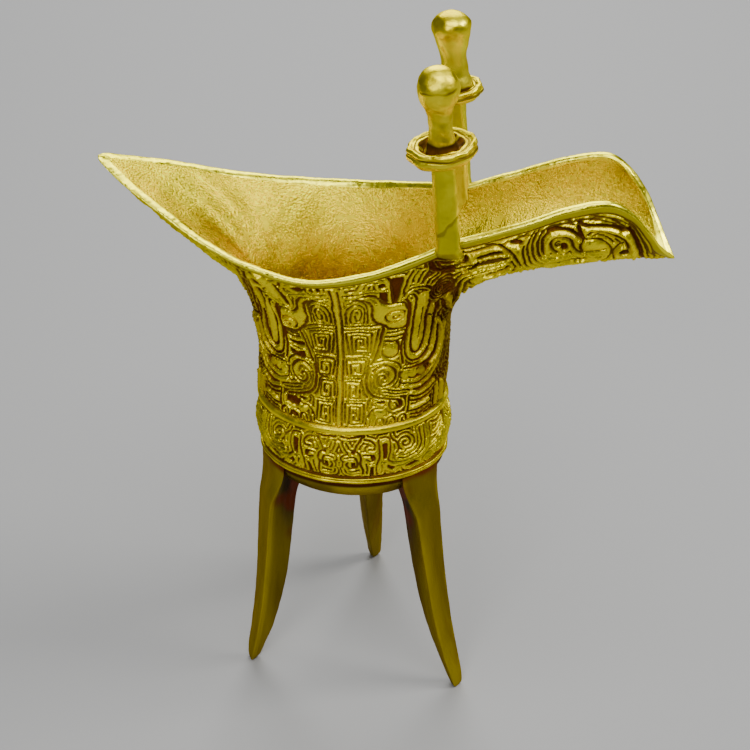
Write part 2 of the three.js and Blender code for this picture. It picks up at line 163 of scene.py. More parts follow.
@dataclass(frozen=True)
class VesselForm:
    """The bowl, spout and tail as one smooth surface, in millimetres round the bowl's axis.

    A point of the surface has a share from -1 to 1 round the mouth, which is 0 at the spout's tip and
    positive on the handle's side, and a distance up the wall.
    """
    half_length: float = 21.8
    half_width: float = 17.6
    wall: float = 2.0
    floor_height: float = 50.0
    dome_height: float = 10.0
    dome_taper: float = 1.2
    throat_height: float = 95.0
    throat_shift: float = 0.7
    lower_ring: float = 61.5
    upper_ring: float = 75.4
    ring_width: float = 1.9
    ring_proud: float = 0.8
    frieze_bulge: float = 1.4
    nose_length: float = 4.0
    rim: tuple[tuple[float, ...], ...] = (
        (72.8, 0, 115.2, 23.1, 0.83, 115.0), (69.5, 4.6, 120.6, 24.3, 0.98, 114.6),
        (66.1, 8.3, 126.6, 24.8, 1.04, 113.1), (62.1, 10.0, 131.8, 26.1, 1.05, 111.9),
        (57.5, 11.9, 134.5, 25.4, 1.03, 112.0), (49.0, 13.0, 133.2, 22.4, 1.0, 112.3),
        (40.0, 13.7, 129.7, 19.4, 0.97, 113.0), (30.5, 13.9, 126.2, 16.5, 0.93, 111.6),
        (25.0, 14.1, 124.2, 14.2, 0.75, 110.5), (15.0, 19.1, 121.4, 11, 0.45, 110.0),
        (5.0, 22.7, 119.3, 10, 0.38, 110.0), (-6.4, 24.3, 118.3, 10, 0.35, 110.0),
        (-20.0, 21.4, 120.0, 11, 0.34, 110.2), (-30.0, 17.6, 122.6, 11.8, 0.33, 112.0),
        (-40.0, 12.6, 126.7, 12.0, 0.32, 115.0), (-50.4, 6.4, 130.9, 12.5, 0.32, 118.0),
        (-55.9, 1.9, 133.5, 12.5, 0.32, 119.0), (-56.8, 0, 133.8, 12.5, 0.32, 119.0),
    )

    def inset_rim(self, inset: float) -> np.ndarray:
        """The stations of the mouth's edge moved inwards in plan.

        Args:
            inset: how far inwards, in millimetres.

        Returns:
            One row for each station, as in the field named rim.
        """
        stations = np.array(self.rim, float)
        moved = stations.copy()
        last = len(stations) - 1
        for i, station in enumerate(stations):
            run = stations[min(i + 1, last)][:2] - stations[max(i - 1, 0)][:2]
            run = run / np.linalg.norm(run)
            from_tip = min(stations[0][0] - station[0], self.nose_length)
            moved[i][2] += inset * (1 - from_tip / self.nose_length)
            if i in (0, last):
                moved[i][0] += (inset if i else -inset) / abs(run[1])
            else:
                moved[i][0] -= run[1] * inset
                moved[i][1] += run[0] * inset
        return moved

    def edge(self, inset: float) -> tuple[np.ndarray, np.ndarray]:
        """The mouth's edge as a dense table against its share.

        Args:
            inset: how far the edge lies inside the outer one.

        Returns:
            The shares from spout to tail, and the rows of values at them.
        """
        stations = self.inset_rim(inset)
        places = stations[:, :3]
        padded = np.vstack([2 * places[0] - places[1], places, 2 * places[-1] - places[-2]])
        rows = []
        for i in range(len(places) - 1):
            before, start, end, after = padded[i:i + 4]
            d0, d1, d2 = (np.linalg.norm(b - a) ** 0.5 for a, b in
                          ((before, start), (start, end), (end, after)))
            out = ((start - before) / d0 - (end - before) / (d0 + d1) + (end - start) / d1) * d1
            into = ((end - start) / d1 - (after - start) / (d1 + d2) + (after - end) / d2) * d1
            t = np.linspace(0, 1, 60, endpoint=i == len(places) - 2)[:, None]
            curve = ((2 * (start - end) + out + into) * t ** 3
                     + (3 * (end - start) - 2 * out - into) * t ** 2 + out * t + start)
            eased = t * t * (3 - 2 * t)
            rows.append(np.hstack([curve, stations[i, 3:] * (1 - eased) + stations[i + 1, 3:] * eased]))
        table = np.vstack(rows)
        steps = np.linalg.norm(np.diff(table[:, :3], axis=0), axis=1)
        run = np.concatenate([[0], np.cumsum(steps)])
        return run / run[-1], table

    def wall_curves(self, share: np.ndarray, inset: float) -> tuple[np.ndarray, ...]:
        """The four guide points of the flared wall at each share.

        Args:
            share: shares round the mouth, from -1 to 1.
            inset: how far the skin lies inside the outer one.

        Returns:
            The headings, then the foot, upright, bend and tip points.
        """
        wrapped = (share + 1.0) % 2.0 - 1.0
        side = np.where(wrapped < 0, -1.0, 1.0)
        shares, table = self.edge(inset)
        x, y, height, rise, reach, belly = (np.interp(np.abs(wrapped), shares, column) for column in table.T)
        heading = np.arctan2(np.abs(y) / self.half_width, (x - self.throat_shift) / self.half_length)
        foot = np.stack([self.throat_shift + (self.half_length - inset) * np.cos(heading),
                         side * (self.half_width - inset) * np.sin(heading),
                         np.full_like(x, self.throat_height)], -1)
        tip = np.stack([x, side * y, height], -1)
        bend = foot + (tip - foot) * reach[..., None]
        bend[..., 2] = belly + inset
        upright = foot.copy()
        upright[..., 2] += rise + inset * 0.6
        return heading * side, foot, upright, bend, tip

    def proud(self, height: np.ndarray) -> np.ndarray:
        """How far the rings and the frieze stand out of the plain oval at each height."""
        out = np.zeros_like(height)
        for ring in (self.lower_ring, self.upper_ring):
            across = (height - ring) / (self.ring_width / 2)
            out = np.maximum(out, self.ring_proud * np.sqrt(np.clip(1 - across ** 2, 0, None)))
        low = self.lower_ring + self.ring_width / 2
        high = self.upper_ring - self.ring_width / 2
        share = np.clip((height - low) / (high - low), 0, 1)
        return np.maximum(out, self.frieze_bulge * np.sin(np.pi * share))

    def barrel(self, heading: np.ndarray, height: np.ndarray, inset: float) -> np.ndarray:
        """Points of the upright barrel.

        Args:
            heading: angles round the bowl's axis.
            height: heights above the ground.
            inset: how far inside the outer oval.

        Returns:
            The points, in the last axis of the array.
        """
        shift = self.throat_shift * smoothstep(height, self.upper_ring, self.throat_height)
        return np.stack([shift + (self.half_length - inset) * np.cos(heading),
                         (self.half_width - inset) * np.sin(heading), height], -1)

    def dome(self, heading: np.ndarray, tilt: np.ndarray, inset: float) -> np.ndarray:
        """Points of the domed floor, from its lowest point at tilt 0 to the barrel at a quarter turn.

        Args:
            heading: angles round the bowl's axis.
            tilt: angles up from the lowest point.
            inset: how far inside the outer skin.

        Returns:
            The points, in the last axis of the array.
        """
        share = np.sin(tilt) ** self.dome_taper
        height = self.floor_height + self.dome_height - (self.dome_height - inset) * np.cos(tilt)
        return np.stack([(self.half_length - inset) * share * np.cos(heading),
                         (self.half_width - inset) * share * np.sin(heading), height], -1)


@dataclass
class WallSample:
    """Points of the wall with the values that the ornament is placed by."""
    points: np.ndarray
    heading: np.ndarray
    below: np.ndarray


def bezier(w: np.ndarray, a: np.ndarray, b: np.ndarray, c: np.ndarray, d: np.ndarray) -> np.ndarray:
    """Points of a cubic Bezier curve at the parameters w."""
    return a * (1 - w) ** 3 + 3 * b * w * (1 - w) ** 2 + 3 * c * w ** 2 * (1 - w) + d * w ** 3


FORM = VesselForm()


def arc_table(form: VesselForm) -> tuple[np.ndarray, np.ndarray]:
    """Distance round the oval from the middle of its long side, against the angle towards the spout."""
    angle = np.linspace(-math.pi / 2, math.pi / 2, 2001)
    x = form.half_length * np.sin(angle)
    y = form.half_width * np.cos(angle)
    run = np.concatenate([[0], np.cumsum(np.hypot(np.diff(x), np.diff(y)))])
    return angle, run - run[1000]


ARC_ANGLES, ARC_RUNS = arc_table(FORM)


def around(heading: np.ndarray) -> np.ndarray:
    """Distance round the oval from the middle of the long side, positive towards the spout."""
    return np.interp(math.pi / 2 - np.abs(heading), ARC_ANGLES, ARC_RUNS)


# The ornament

GROOVE = -0.42
PIT = -0.75
BOSS = 0.45


@dataclass(frozen=True)
class Stroke:
    """A line of the ornament: its points in canvas millimetres, width, level and red-brown stain."""
    points: np.ndarray
    width: float = 0.5
    level: float = GROOVE
    stain: float = 0.35
    filled: bool = False


def groove(points: list[Plan], width: float = 0.5, stain: float = 0.35,
           level: float = GROOVE) -> list[Stroke]:
    """A smooth cut line."""
    return [Stroke(flowing(points), width, level, stain)]


def ridge(points: list[Plan], width: float = 0.7, level: float = 0.25) -> list[Stroke]:
    """A smooth raised line."""
    return [Stroke(flowing(points), width, level, 0.0)]


def pit(points: list[Plan], level: float = PIT) -> list[Stroke]:
    """A sunk patch with the points on its outline."""
    return [Stroke(flowing([*points, points[0]]), 0.35, level, 1.0, filled=True)]


def pad(points: list[Plan], level: float = BOSS) -> list[Stroke]:
    """A raised patch with the points on its outline."""
    return [Stroke(flowing([*points, points[0]]), 0.9, level, 0.0, filled=True)]


def oval(points: list[Plan], width: float, tilt: float = 0.0) -> list[Stroke]:
    """A closed oval groove.

    Args:
        points: its middle and its half-widths.
        width: the groove's width.
        tilt: how far it is turned, in degrees.

    Returns:
        The one stroke.
    """
    (x, y), (across, up) = points
    angle = np.linspace(0, 2 * math.pi, max(int((across + up) * 40), 24))
    a, b = across * np.cos(angle), up * np.sin(angle)
    cos, sin = math.cos(math.radians(tilt)), math.sin(math.radians(tilt))
    return [Stroke(np.stack([x + a * cos - b * sin, y + a * sin + b * cos], -1), width)]


def curl(points: list[Plan], width: float, turns: float, start: float, hand: float = 1.0) -> list[Stroke]:
    """A round spiral groove that winds inwards.

    Args:
        points: its middle and its half-widths.
        width: the groove's width.
        turns: how many turns it makes.
        start: the angle at which it starts, in degrees.
        hand: 1 for anticlockwise and -1 for clockwise.

    Returns:
        The one stroke.
    """
    (x, y), (across, up) = points
    share = np.linspace(0, 1, max(int(across * turns * 60), 24))
    angle = math.radians(start) + hand * share * turns * 2 * math.pi
    reach = across * (1 - 0.88 * share)
    return [Stroke(np.stack([x + reach * np.cos(angle), y + up / across * reach * np.sin(angle)], -1), width)]


def key(points: list[Plan], lean: float = 0.0) -> list[Stroke]:
    """A square spiral groove, as on cast thunder ground.

    Args:
        points: its middle and its size.
        lean: how far its sides lean out at the top.

    Returns:
        The one stroke.
    """
    (x, y), (width, height) = points
    pitch = 0.95
    left, right, low, high = -width / 2, width / 2, -height / 2, height / 2
    corners = [(left, low)]
    while right - left > pitch * 0.9 and high - low > pitch * 0.9:
        corners += [(left, high), (right, high), (right, low), (left + pitch, low)]
        left, right, low, high = left + pitch, right - pitch, low + pitch, high - pitch
        corners.append((left, low))
    line = straight([(a * (1 + lean * b / height), b) for a, b in corners])
    kernel = np.ones(9) / 9
    for axis in range(2):
        line[4:-4, axis] = np.convolve(line[:, axis], kernel, mode="valid")
    return [Stroke(line + (x, y), 0.42)]


def bundle(points: list[Plan], count: float, width: float = 0.42, stain: float = 0.3) -> list[Stroke]:
    """Grooves that change evenly from a line through half of the points to one through the others."""
    first, last = np.split(np.array(points), 2)
    return [Stroke(flowing((first * (1 - share) + last * share).tolist()), width, GROOVE, stain)
            for share in np.linspace(0, 1, int(count))]


CUTS = {cut.__name__: cut for cut in (groove, ridge, pit, pad, oval, curl, key, bundle)}


def drawn(text: str) -> list[Stroke]:
    """Reads a drawing.

    Args:
        text: for each stroke a cut's name, its settings, a colon and its points.

    Returns:
        The strokes in order.
    """
    strokes = []
    for name, settings, points in re.findall(r"([a-z]+)([-.\d ]*):([^a-z]+)", text):
        strokes += CUTS[name](path(points), *map(float, settings.split()))
    return strokes


class Canvas:
    """A flat field of relief height and stain that strokes are worked into."""
    CELL = 0.1

    def __init__(self, left: float, low: float, right: float, high: float) -> None:
        """Lays out an empty canvas between its four edges, in millimetres."""
        self.left, self.low = left, low
        shape = (int((high - low) / self.CELL) + 1, int((right - left) / self.CELL) + 1)
        self.height = np.zeros(shape)
        self.stain = np.zeros(shape)
        self.busy = np.zeros(shape, bool)

    def work(self, strokes: list[Stroke]) -> None:
        """Works the strokes into the canvas in order, each over the ones before it."""
        for stroke in strokes:
            self.work_one(stroke)

    def work_one(self, stroke: Stroke) -> None:
        """Works one stroke into the canvas."""
        places = (stroke.points - (self.left, self.low)) / self.CELL
        reach = int(stroke.width * 1.3 / self.CELL) + 2
        rows, columns = self.height.shape
        x0 = max(int(places[:, 0].min()) - reach, 0)
        x1 = min(int(places[:, 0].max()) + reach + 1, columns)
        y0 = max(int(places[:, 1].min()) - reach, 0)
        y1 = min(int(places[:, 1].max()) + reach + 1, rows)
        if x1 <= x0 or y1 <= y0:
            return
        distance = np.full((y1 - y0, x1 - x0), 99.0)
        for px, py in places:
            a, b = int(px) - reach - x0, int(py) - reach - y0
            c, d = a + 2 * reach + 1, b + 2 * reach + 1
            a, b, c, d = max(a, 0), max(b, 0), min(c, x1 - x0), min(d, y1 - y0)
            if c <= a or d <= b:
                continue
            gap = np.hypot(np.arange(a, c)[None, :] + x0 - px, np.arange(b, d)[:, None] + y0 - py)
            window = distance[b:d, a:c]
            np.minimum(window, gap * self.CELL, out=window)
        if stroke.filled:
            distance = np.where(self.inside(places, x0, x1, y0, y1), -distance, distance)
            mask = fall(distance, -stroke.width, stroke.width * 0.4)
            self.busy[y0:y1, x0:x1] |= distance < 0
        else:
            self.busy[y0:y1, x0:x1] |= distance < self.CELL * 0.8
            mask = fall(distance, stroke.width * 0.2, stroke.width * 0.72)
        for layer, target in ((self.height, stroke.level), (self.stain, stroke.stain)):
            part = layer[y0:y1, x0:x1]
            part += (target - part) * mask

    def echo(self, pitch: float, level: float = -0.34, stain: float = 0.35) -> None:
        """Fills the open ground with lines that echo the strokes beside them.

        Args:
            pitch: the distance between lines.
            level: the depth of a line.
            stain: how much red-brown lies in a line.
        """
        distance = self.clearance(self.busy)
        turn = np.maximum(np.round(distance / pitch), 1)
        mask = near(distance - turn * pitch, pitch * 0.12, pitch * 0.36)
        for layer, target in ((self.height, level), (self.stain, stain)):
            layer += (target - layer) * mask * (distance > pitch * 0.7)

    def round_off(self, reach: float = 0.62, rise: float = 0.3, grain: float = 0.045) -> None:
        """Rounds the land between the cut lines and roughens it as a casting.

        Args:
            reach: how far the rounding runs in from a cut line.
            rise: how much the middle of a land stands up.
            grain: how high the cast grain is.
        """
        inwards = np.clip(1 - self.clearance(self.height < -0.16) / reach, 0, 1)
        self.height += rise * (np.sqrt(1 - inwards ** 2) - 0.45) * (self.height > -0.3)
        rough = np.random.default_rng(7).normal(size=self.height.shape)
        for axis in (0, 1):
            for step in (1, 2):
                rough = rough + np.roll(rough, step, axis=axis)
        self.height += grain * rough / rough.std()

    def clearance(self, worked: np.ndarray) -> np.ndarray:
        """Distance from each cell to the nearest worked one, in millimetres."""
        rows, columns = worked.shape
        y, x = np.mgrid[0:rows, 0:columns]
        near_x = np.where(worked, x, -9000)
        near_y = np.where(worked, y, -9000)
        best = np.hypot(near_x - x, near_y - y)
        step = 256
        while step:
            for dy in (-step, 0, step):
                for dx in (-step, 0, step):
                    to = (slice(max(dy, 0), rows + min(dy, 0)), slice(max(dx, 0), columns + min(dx, 0)))
                    of = (slice(max(-dy, 0), rows + min(-dy, 0)), slice(max(-dx, 0), columns + min(-dx, 0)))
                    if to[0].start >= to[0].stop or to[1].start >= to[1].stop:
                        continue
                    reach = np.hypot(near_x[of] - x[to], near_y[of] - y[to])
                    closer = reach < best[to]
                    best[to] = np.where(closer, reach, best[to])
                    near_x[to] = np.where(closer, near_x[of], near_x[to])
                    near_y[to] = np.where(closer, near_y[of], near_y[to])
            step //= 2
        return best * self.CELL

    @staticmethod
    def inside(outline: np.ndarray, x0: int, x1: int, y0: int, y1: int) -> np.ndarray:
        """Which cells of a window lie inside a closed outline.

        Args:
            outline: the outline's points, in cells.
            x0: the window's first column.
            x1: one past its last column.
            y0: its first row.
            y1: one past its last row.

        Returns:
            An array of truth values.
        """
        columns = np.arange(x0, x1)[None, :]
        rows = np.arange(y0, y1)[:, None]
        odd = np.zeros((y1 - y0, x1 - x0), bool)
        coarse = outline[::3]
        for (ax, ay), (bx, by) in zip(coarse, np.roll(coarse, -1, axis=0)):
            if ay == by:
                continue
            crossing = (rows > min(ay, by)) & (rows <= max(ay, by))
            odd ^= crossing & (columns < ax + (rows - ay) * (bx - ax) / (by - ay))
        return odd

    def sample(self, across: np.ndarray, up: np.ndarray) -> tuple[np.ndarray, np.ndarray]:
        """Relief height and stain at places of the canvas.

        Args:
            across: first coordinates.
            up: second coordinates.

        Returns:
            The heights and the stains.
        """
        rows, columns = self.height.shape
        x = np.clip((across - self.left) / self.CELL, 0, columns - 1.001)
        y = np.clip((up - self.low) / self.CELL, 0, rows - 1.001)
        i, j = x.astype(int), y.astype(int)
        fx, fy = x - i, y - j
        found = []
        for layer in (self.height, self.stain):
            found.append((layer[j, i] * (1 - fx) + layer[j, i + 1] * fx) * (1 - fy)
                         + (layer[j + 1, i] * (1 - fx) + layer[j + 1, i + 1] * fx) * fy)
        return found[0], found[1]


class BodyOrnament:
    """The mask on the bowl, drawn across the oval and up the height, with the clouds over it."""
    MIDDLE = -0.65
    # The ridge down the middle, between its two grooves
    RIDGE = """
    groove .36: -1.35,76 -1.35,100 -1.45,115.6
    groove .36: .05,76 .05,100 -.05,115
    ridge .75 .35: -.65,76 -.65,100 -.75,115.5
    """
    # The right half of the mask: key spirals, the eye and its band, the cheek lines and the two scrolls
    FACE = """
    key: 2.75,80.2 4.3,5.6
    key: 2.35,86.7 3.4,4.4
    key .2: 2.9,92.5 4.2,4.2
    key .25: 3.7,99.4 5.4,5.6
    groove .4: .6,83.7 2.6,83.7 5.1,83.8
    groove .4: .6,89.6 2.4,89.5 4,89.6
    groove: .9,95 3,95.1 5.1,95.3 5.7,94.8 5.7,93.6 5.3,92 4.7,90.6 4,89.9 2.5,89.8
    groove .4: .6,96.2 3,96.2 5.6,96
    groove .4: .6,103 4,103.1 7.6,103
    groove .55: .6,104.2 3,104 5.6,104.2 8.8,104.1
    groove .6 .8: 9.3,103.6 8.8,101 8.1,98.2 7.1,95.4 6.4,93.6
    groove .45: 8.3,103 7.7,100.4 6.9,97.6 6,95.4
    groove .45: 1,104.9 .9,107.5 1.4,109.4 2.6,110.5 3.8,110.4 4.7,109.3 4.9,107.4 4.8,104.9
    groove .42: 1.9,105.2 1.9,107.2 2.4,108.8 3.4,109.3 4.1,108.4 4.1,106.6 3.6,105.7 2.9,106 2.8,107.2
    groove .45: 5.6,104.9 5.5,107.5 5.2,109.8 4.4,111.2 2.9,111.7 1.4,111
    pad .3: 7.4,109.9 6.9,107.6 7.6,105.5 9.6,104.4 12,103.2 13.7,103.6 14,106 13.3,108.4 11.8,109.7
        9.4,109.6
    groove .6 .6: 4.2,112.9 6,112.9 7.2,112.1 8.2,110.7 9.6,110 11.4,110 12.6,109.8 13.6,108.6 14.3,106.6
        14.4,104 13.7,102.5 12,102.3 10.2,102.9 9,104.1 7.4,105 6.5,106.5 6.5,108.6 6,110.3 4.9,111.5
        3.4,111.9
    pad .6: 9.6,106.6 10.2,107.8 11.6,108.1 12.9,107.4 13.2,106.2 12.4,105 11,104.7 9.9,105.4
    oval .4: 11.4,106.4 2.1,1.65
    oval .36: 11.6,106.3 .75,.5
    groove .45: 10,101.7 12,101.4 13.9,101.6
    groove .45: 9.6,100.6 11.8,100.2 13.8,100.5
    groove .5 .7: 9.4,99.4 11.4,99 13.4,99.4
    groove .6 .8: 13.6,92.4 13.4,95 13.5,98 14,101 14.6,104 14.6,107 14,109.2 13,110.6
    groove: 4.3,89.3 4.5,87.4 4.9,85.8 5.6,84.6
    groove .65 .7: 5.9,92.6 5.4,90.4 5.4,88.2 5.9,86.2 7,84.8 8.8,83.9 10.8,83.5 12.4,83.1 13.4,82.2 13.7,81
    groove .6 .6: 6.8,91.4 7.6,92.3 9,92.8 10.4,92.5 11.4,91.6 11.9,90.3 11.7,88.7 10.8,87.7 9.6,87.2
        8.5,87.4 7.9,88.3 7.9,89.4 8.6,90 9.3,89.8 9.5,89.1
    ridge .5 .2: 7.1,91.2 8,92 9.2,92.2 10.3,91.9 11,91 11.2,89.9 10.9,88.8
    groove .42: 9,86.4 11,86 13,85.5 15.6,84.6
    groove .42: 9.3,85.5 11.4,85.1 14.6,84.2
    groove .42: 6.6,93.9 9,94.1 11,93.8 12.6,92.6 13.2,91
    groove: 10.9,82.9 10.7,81.8 11.1,80.7 12,80.3 13,80.6
    groove .42: 11.8,82.3 12.5,81.9 12.6,81.1 12.1,80.9
    pit: 12.9,82.5 13.8,82.1 14,80.9 13.3,80.3 12.8,80.9 13,81.6
    pit: 7.4,82.9 8.6,82.3 9.8,82.3 9.7,83 8.6,83.2
    groove .5 .7: 6,78.9 6.3,80.2 7.3,81.1 8.8,81.2 9.8,81.9
    pad .5: 7.8,80.3 8.6,80.5 9.4,80.2 9.2,79.7 8.2,79.7
    groove .5 .7: 7.7,76.9 7.9,78 8.7,78.5 9.5,78 9.6,77
    groove .5 .7: 10.2,76.9 10.5,78 11.4,78.5 12.3,78 12.5,76.9
    groove .5 .7: 13.1,76.9 13.4,78.1 14.2,78.6 15,78.1 15.2,77
    groove .4: 5.4,77 5.5,78.6 5.9,79.6
    """
    # The hooked bar beside the eye and the block of lines under it, on both halves
    SIDES = """
    groove: 15.4,78.6 15.5,80.6 15.5,82.6
    ridge .95 .4: 16.6,79.9 18.6,80.1 20.6,80.5
    groove: 15.6,83.2 18,82.6 20.4,83 22.6,84.4
    ridge .45: 15.8,84 18,83.4 20.2,83.9 22.4,85.3
    groove .45: 16,81.8 18.4,81.4 20.8,81.8 23,83.2
    groove: 16,78.8 18.4,78.8 21,79.2
    groove .4: 16.2,77.8 19,77.6 22,78.2
    ridge 1.1 .45: 25.3,83.4 25.4,81 25.8,78.4
    groove .5 .6: 24.3,84 24.4,81 24.8,78
    groove .5 .6: 26.4,83.6 26.6,81 27,78.4
    groove .5 .6: 22.6,82.6 22.8,80 23.2,77.8
    ridge .5 .3: 23.5,83.4 23.6,81 24,78
    ridge .45: 13.6,86.4 16,85.6 18.6,85.6 20.8,86.8 22.6,89 24,92 24.8,96 25,100
    ridge .45: 14,88 16.2,87.2 18.4,87.4 20.4,88.6 22,90.6 23.2,93
    pad .3: 13.85,89.3 14.4,89.9 14.95,89.3 14.4,88.7
    pad .3: 15.75,89.3 16.3,89.9 16.85,89.3 16.3,88.7
    pad .3: 17.75,89.3 18.3,89.9 18.85,89.3 18.3,88.7
    groove .5 .6: 13.9,90.9 16,90.9 18,91 19.6,91.5
    pad .65: 16.1,110.6 16.5,103 16.3,97 16.5,95.8 17.2,96 17.6,100 17.8,106 17.2,110.4 16.7,111.4
    groove .5 .5: 18.6,106 18.9,101 18.5,97.4 17.6,95.2 16.4,95.1 15.7,96.8 15.6,101 15.6,107 15.3,110.6
        14.4,111.8 13.6,111.5 13.1,110.6
    ridge .42 .3: 14.9,109.6 14.9,104 14.8,98 15.2,95 16.6,93.9 18.2,94.6 19.4,96.6 19.9,100 19.8,104
        19.4,107.6
    groove .5 .6: 14.3,109 14.3,104 14.2,98 14.6,94.4 16.2,92.7 18.4,93.1 20.2,95.2 20.9,99 20.8,104
        20.3,108
    ridge .5 .35: 18.2,91.8 19.6,92.8 20.8,94.2 21.5,96.2 21.6,99 21.3,102
    groove .8 1 -.55: 19,91.2 20.6,91.8 21.8,92.8 22.5,94.4 22.8,96.6 22.6,99.4
    ridge .7 .4: 20.8,90.7 22.4,91.6 23.5,93.4 24,95.6 23.9,98 23.2,100.2 22,101.8
    groove .5 .5: 17.8,112.6 16.4,113.7 14.6,113.7 13,112.6 12.3,111.4
    """
    # The sunk bars of the left cheek, the tall leaf and the lines that sweep out to the tail
    LEFT_ONLY = """
    pit: -13.2,97.1 -11,96.6 -9.2,97 -9.3,97.9 -11.2,97.6 -13,97.9
    pit: -13.1,95.4 -11,94.9 -9.2,95.5 -9,94 -11,93.4 -12.8,94
    pit: -13.4,82.2 -11.8,82.6 -10.4,81.8 -10.6,80.4 -12,80.2 -13.4,80.6
    pit: -12.9,78.4 -11.6,78.7 -10.6,78 -11,77.2 -12.4,77.2
    ridge .5 .35: -13.8,82.4 -14.1,80.8 -13.6,79.3 -12.2,79
    ridge 1.1 .5: -13.1,117.6 -12.5,115.2 -12.1,112.8 -12.3,110.9
    pad .4: -26,98.3 -24,99.3 -22,99.1 -21,98.1 -20.2,97 -21.4,97.2 -23.4,97.9 -25,97.8
    bundle 5 .45 .6: -15.6,112 -16.6,108 -17.3,104 -17.8,100 -19.4,114 -20.4,109 -21.4,105 -22.4,101.4
    ridge .7 .4: -14.9,116.4 -15.9,113 -17,109.6 -17.8,105.6
    ridge .4: -19.6,99.6 -19.8,97.6 -20.4,95.6
    bundle 3 .45 .6: -16.6,117.6 -18,114.6 -19.6,112 -21.4,109.8 -17.6,119.4 -20,116.8 -22.4,114.6 -25,112.6
    bundle 3 .45 .5: -22.6,106.6 -24.4,104.2 -26.2,102.4 -21.6,101.6 -23.4,100.8 -26,100
    pit -.5: -15.5,115.5 -14.4,115.1 -14.4,113.1 -15.5,113.4
    ridge .6 .35: -25,95.4 -23.4,94.2 -21.4,92.8 -19,92.2
    ridge .45: -28,95.2 -25.6,93 -23,91.2 -20,90.8
    ridge 1 .4: -22.9,79 -22.6,80.8 -21.9,82.4 -21.5,83.6
    """
    # The cheek boss, the oval scales behind the bar and the brown triangles of the right side
    RIGHT_ONLY = """
    ridge .6 .4: 21.2,109.8 22,108.2 23,106.2 24.4,104.4
    groove .9 .8 -.75: 21.3,114 22.1,111.4 23.4,108.8 25.2,106.4
    groove .45: 20.1,107.6 20.9,106.4 21,105 20.2,104.1 19.2,104.3
    pad .5: 9.4,96.9 10.6,98.2 12,97.8 12.3,96.4 11.4,95.4 10,95.6
    groove .5 .8: 8.7,96.9 9.1,95.6 10.4,94.8 11.8,94.9 12.7,96 12.8,97.6 12.2,98.7
    oval .38 -6: 19.8,112.4 .3,.7
    oval .38 -6: 19.8,112.4 .8,1.6
    oval .38 -6: 19.8,112.4 1.3,2.5
    oval .38 -6: 19.8,112.4 1.8,3.4
    groove .8 .8 -.75: 16.7,119.8 17.2,118.4 18.6,117.6 20.6,117.6 22,118.4
    groove .42: 16.4,121.4 18.4,120.6 20.4,120.4 22.2,121.2
    groove .5 .8: 13.6,118.9 12.9,117 12.5,114.6 12.3,112.4
    groove .42: 14.6,118.4 13.9,116.8 13.7,115.2
    groove .42: 15.8,118.2 15,116.6 14.7,115
    groove .42: 18,116.6 16.8,115.4 16.6,114.3
    groove .3 .35 -.2: 17,108 17.2,104 17,99
    """
    # The wavy cloud band under the mouth, right and then left of the middle
    CLOUDS = """
    pit: 9.6,118 11.8,117.2 11.7,113.6 11.2,110.5 10.6,110.5 10.1,114 9.4,117
    pit: 7.6,113.5 9,113.4 9.2,110.7 8.7,110.6 7.6,112.2
    groove .5 .8: .4,117.5 2,117.6 4,118.2 5.6,118.6 8,118.4 9.3,117.2 9.8,115.2 10.1,112.6 10.4,110.3
    pit: 1.1,115.5 2.6,115.6 3.1,115.1 2.4,114.7 1.2,114.8
    groove .4: 1,116.4 2.4,116.3 3,116.9 2.2,117.1
    pit: 7.2,116.4 8.2,116.6 8.6,115.3 7.4,115.2
    groove .42: 4.6,115.3 5,116.4 6,117 7.2,116.9
    groove .45: 3.2,115 3.5,116.2 4.4,117.2 5.6,117.7
    groove .5 .6: .9,113.7 2.8,113.6 4.6,113.8 7,113.9 9,113.6
    groove .42: 1.2,112.4 2.8,112.3 4.4,112.9
    groove .6 .8 -.75: 4.6,113 5.6,113.1 6.6,112.9
    groove .5 .8: -1.6,117.2 -3,117 -4.2,117.4 -6,118 -8,118 -9.4,117 -10,115
    pit: -3.7,116.6 -3,116.4 -3,115.1 -3.6,114.9
    groove .45: -2.4,114.2 -3.8,113.7 -5,114.2 -5.6,115.4 -5.2,116.6
    pit: -8.6,115.4 -7,116 -5.9,115.9 -6,114.7 -7.4,114.2
    groove .5 .7: -5.8,114 -7.4,113.4 -9.2,112.8
    groove .42: -2,112.9 -4,112.6 -6,112.8 -7.8,112.2
    pit: -11.3,115.6 -10.4,115.4 -10.2,109.4 -11,108.4 -11.4,110
    """

    def canvas(self) -> Canvas:
        """Draws both halves on one canvas."""
        canvas = Canvas(-31.5, 75.0, 31.5, 128.0)
        right = drawn(self.SIDES + self.FACE)
        canvas.work([self.mirrored(stroke) for stroke in right])
        canvas.work(drawn(self.LEFT_ONLY))
        canvas.work(right)
        canvas.work(drawn(self.RIGHT_ONLY + self.RIDGE + self.CLOUDS))
        return canvas

    def mirrored(self, stroke: Stroke) -> Stroke:
        """A stroke of the right half as it lies on the left, where the mask sits a little lower."""
        across, up = stroke.points.T
        drop = 3.2 * smoothstep(up, 98, 106) * smoothstep(across, 4, 10)
        return replace(stroke, points=np.stack([2 * self.MIDDLE - across * 0.93, up - drop], -1))


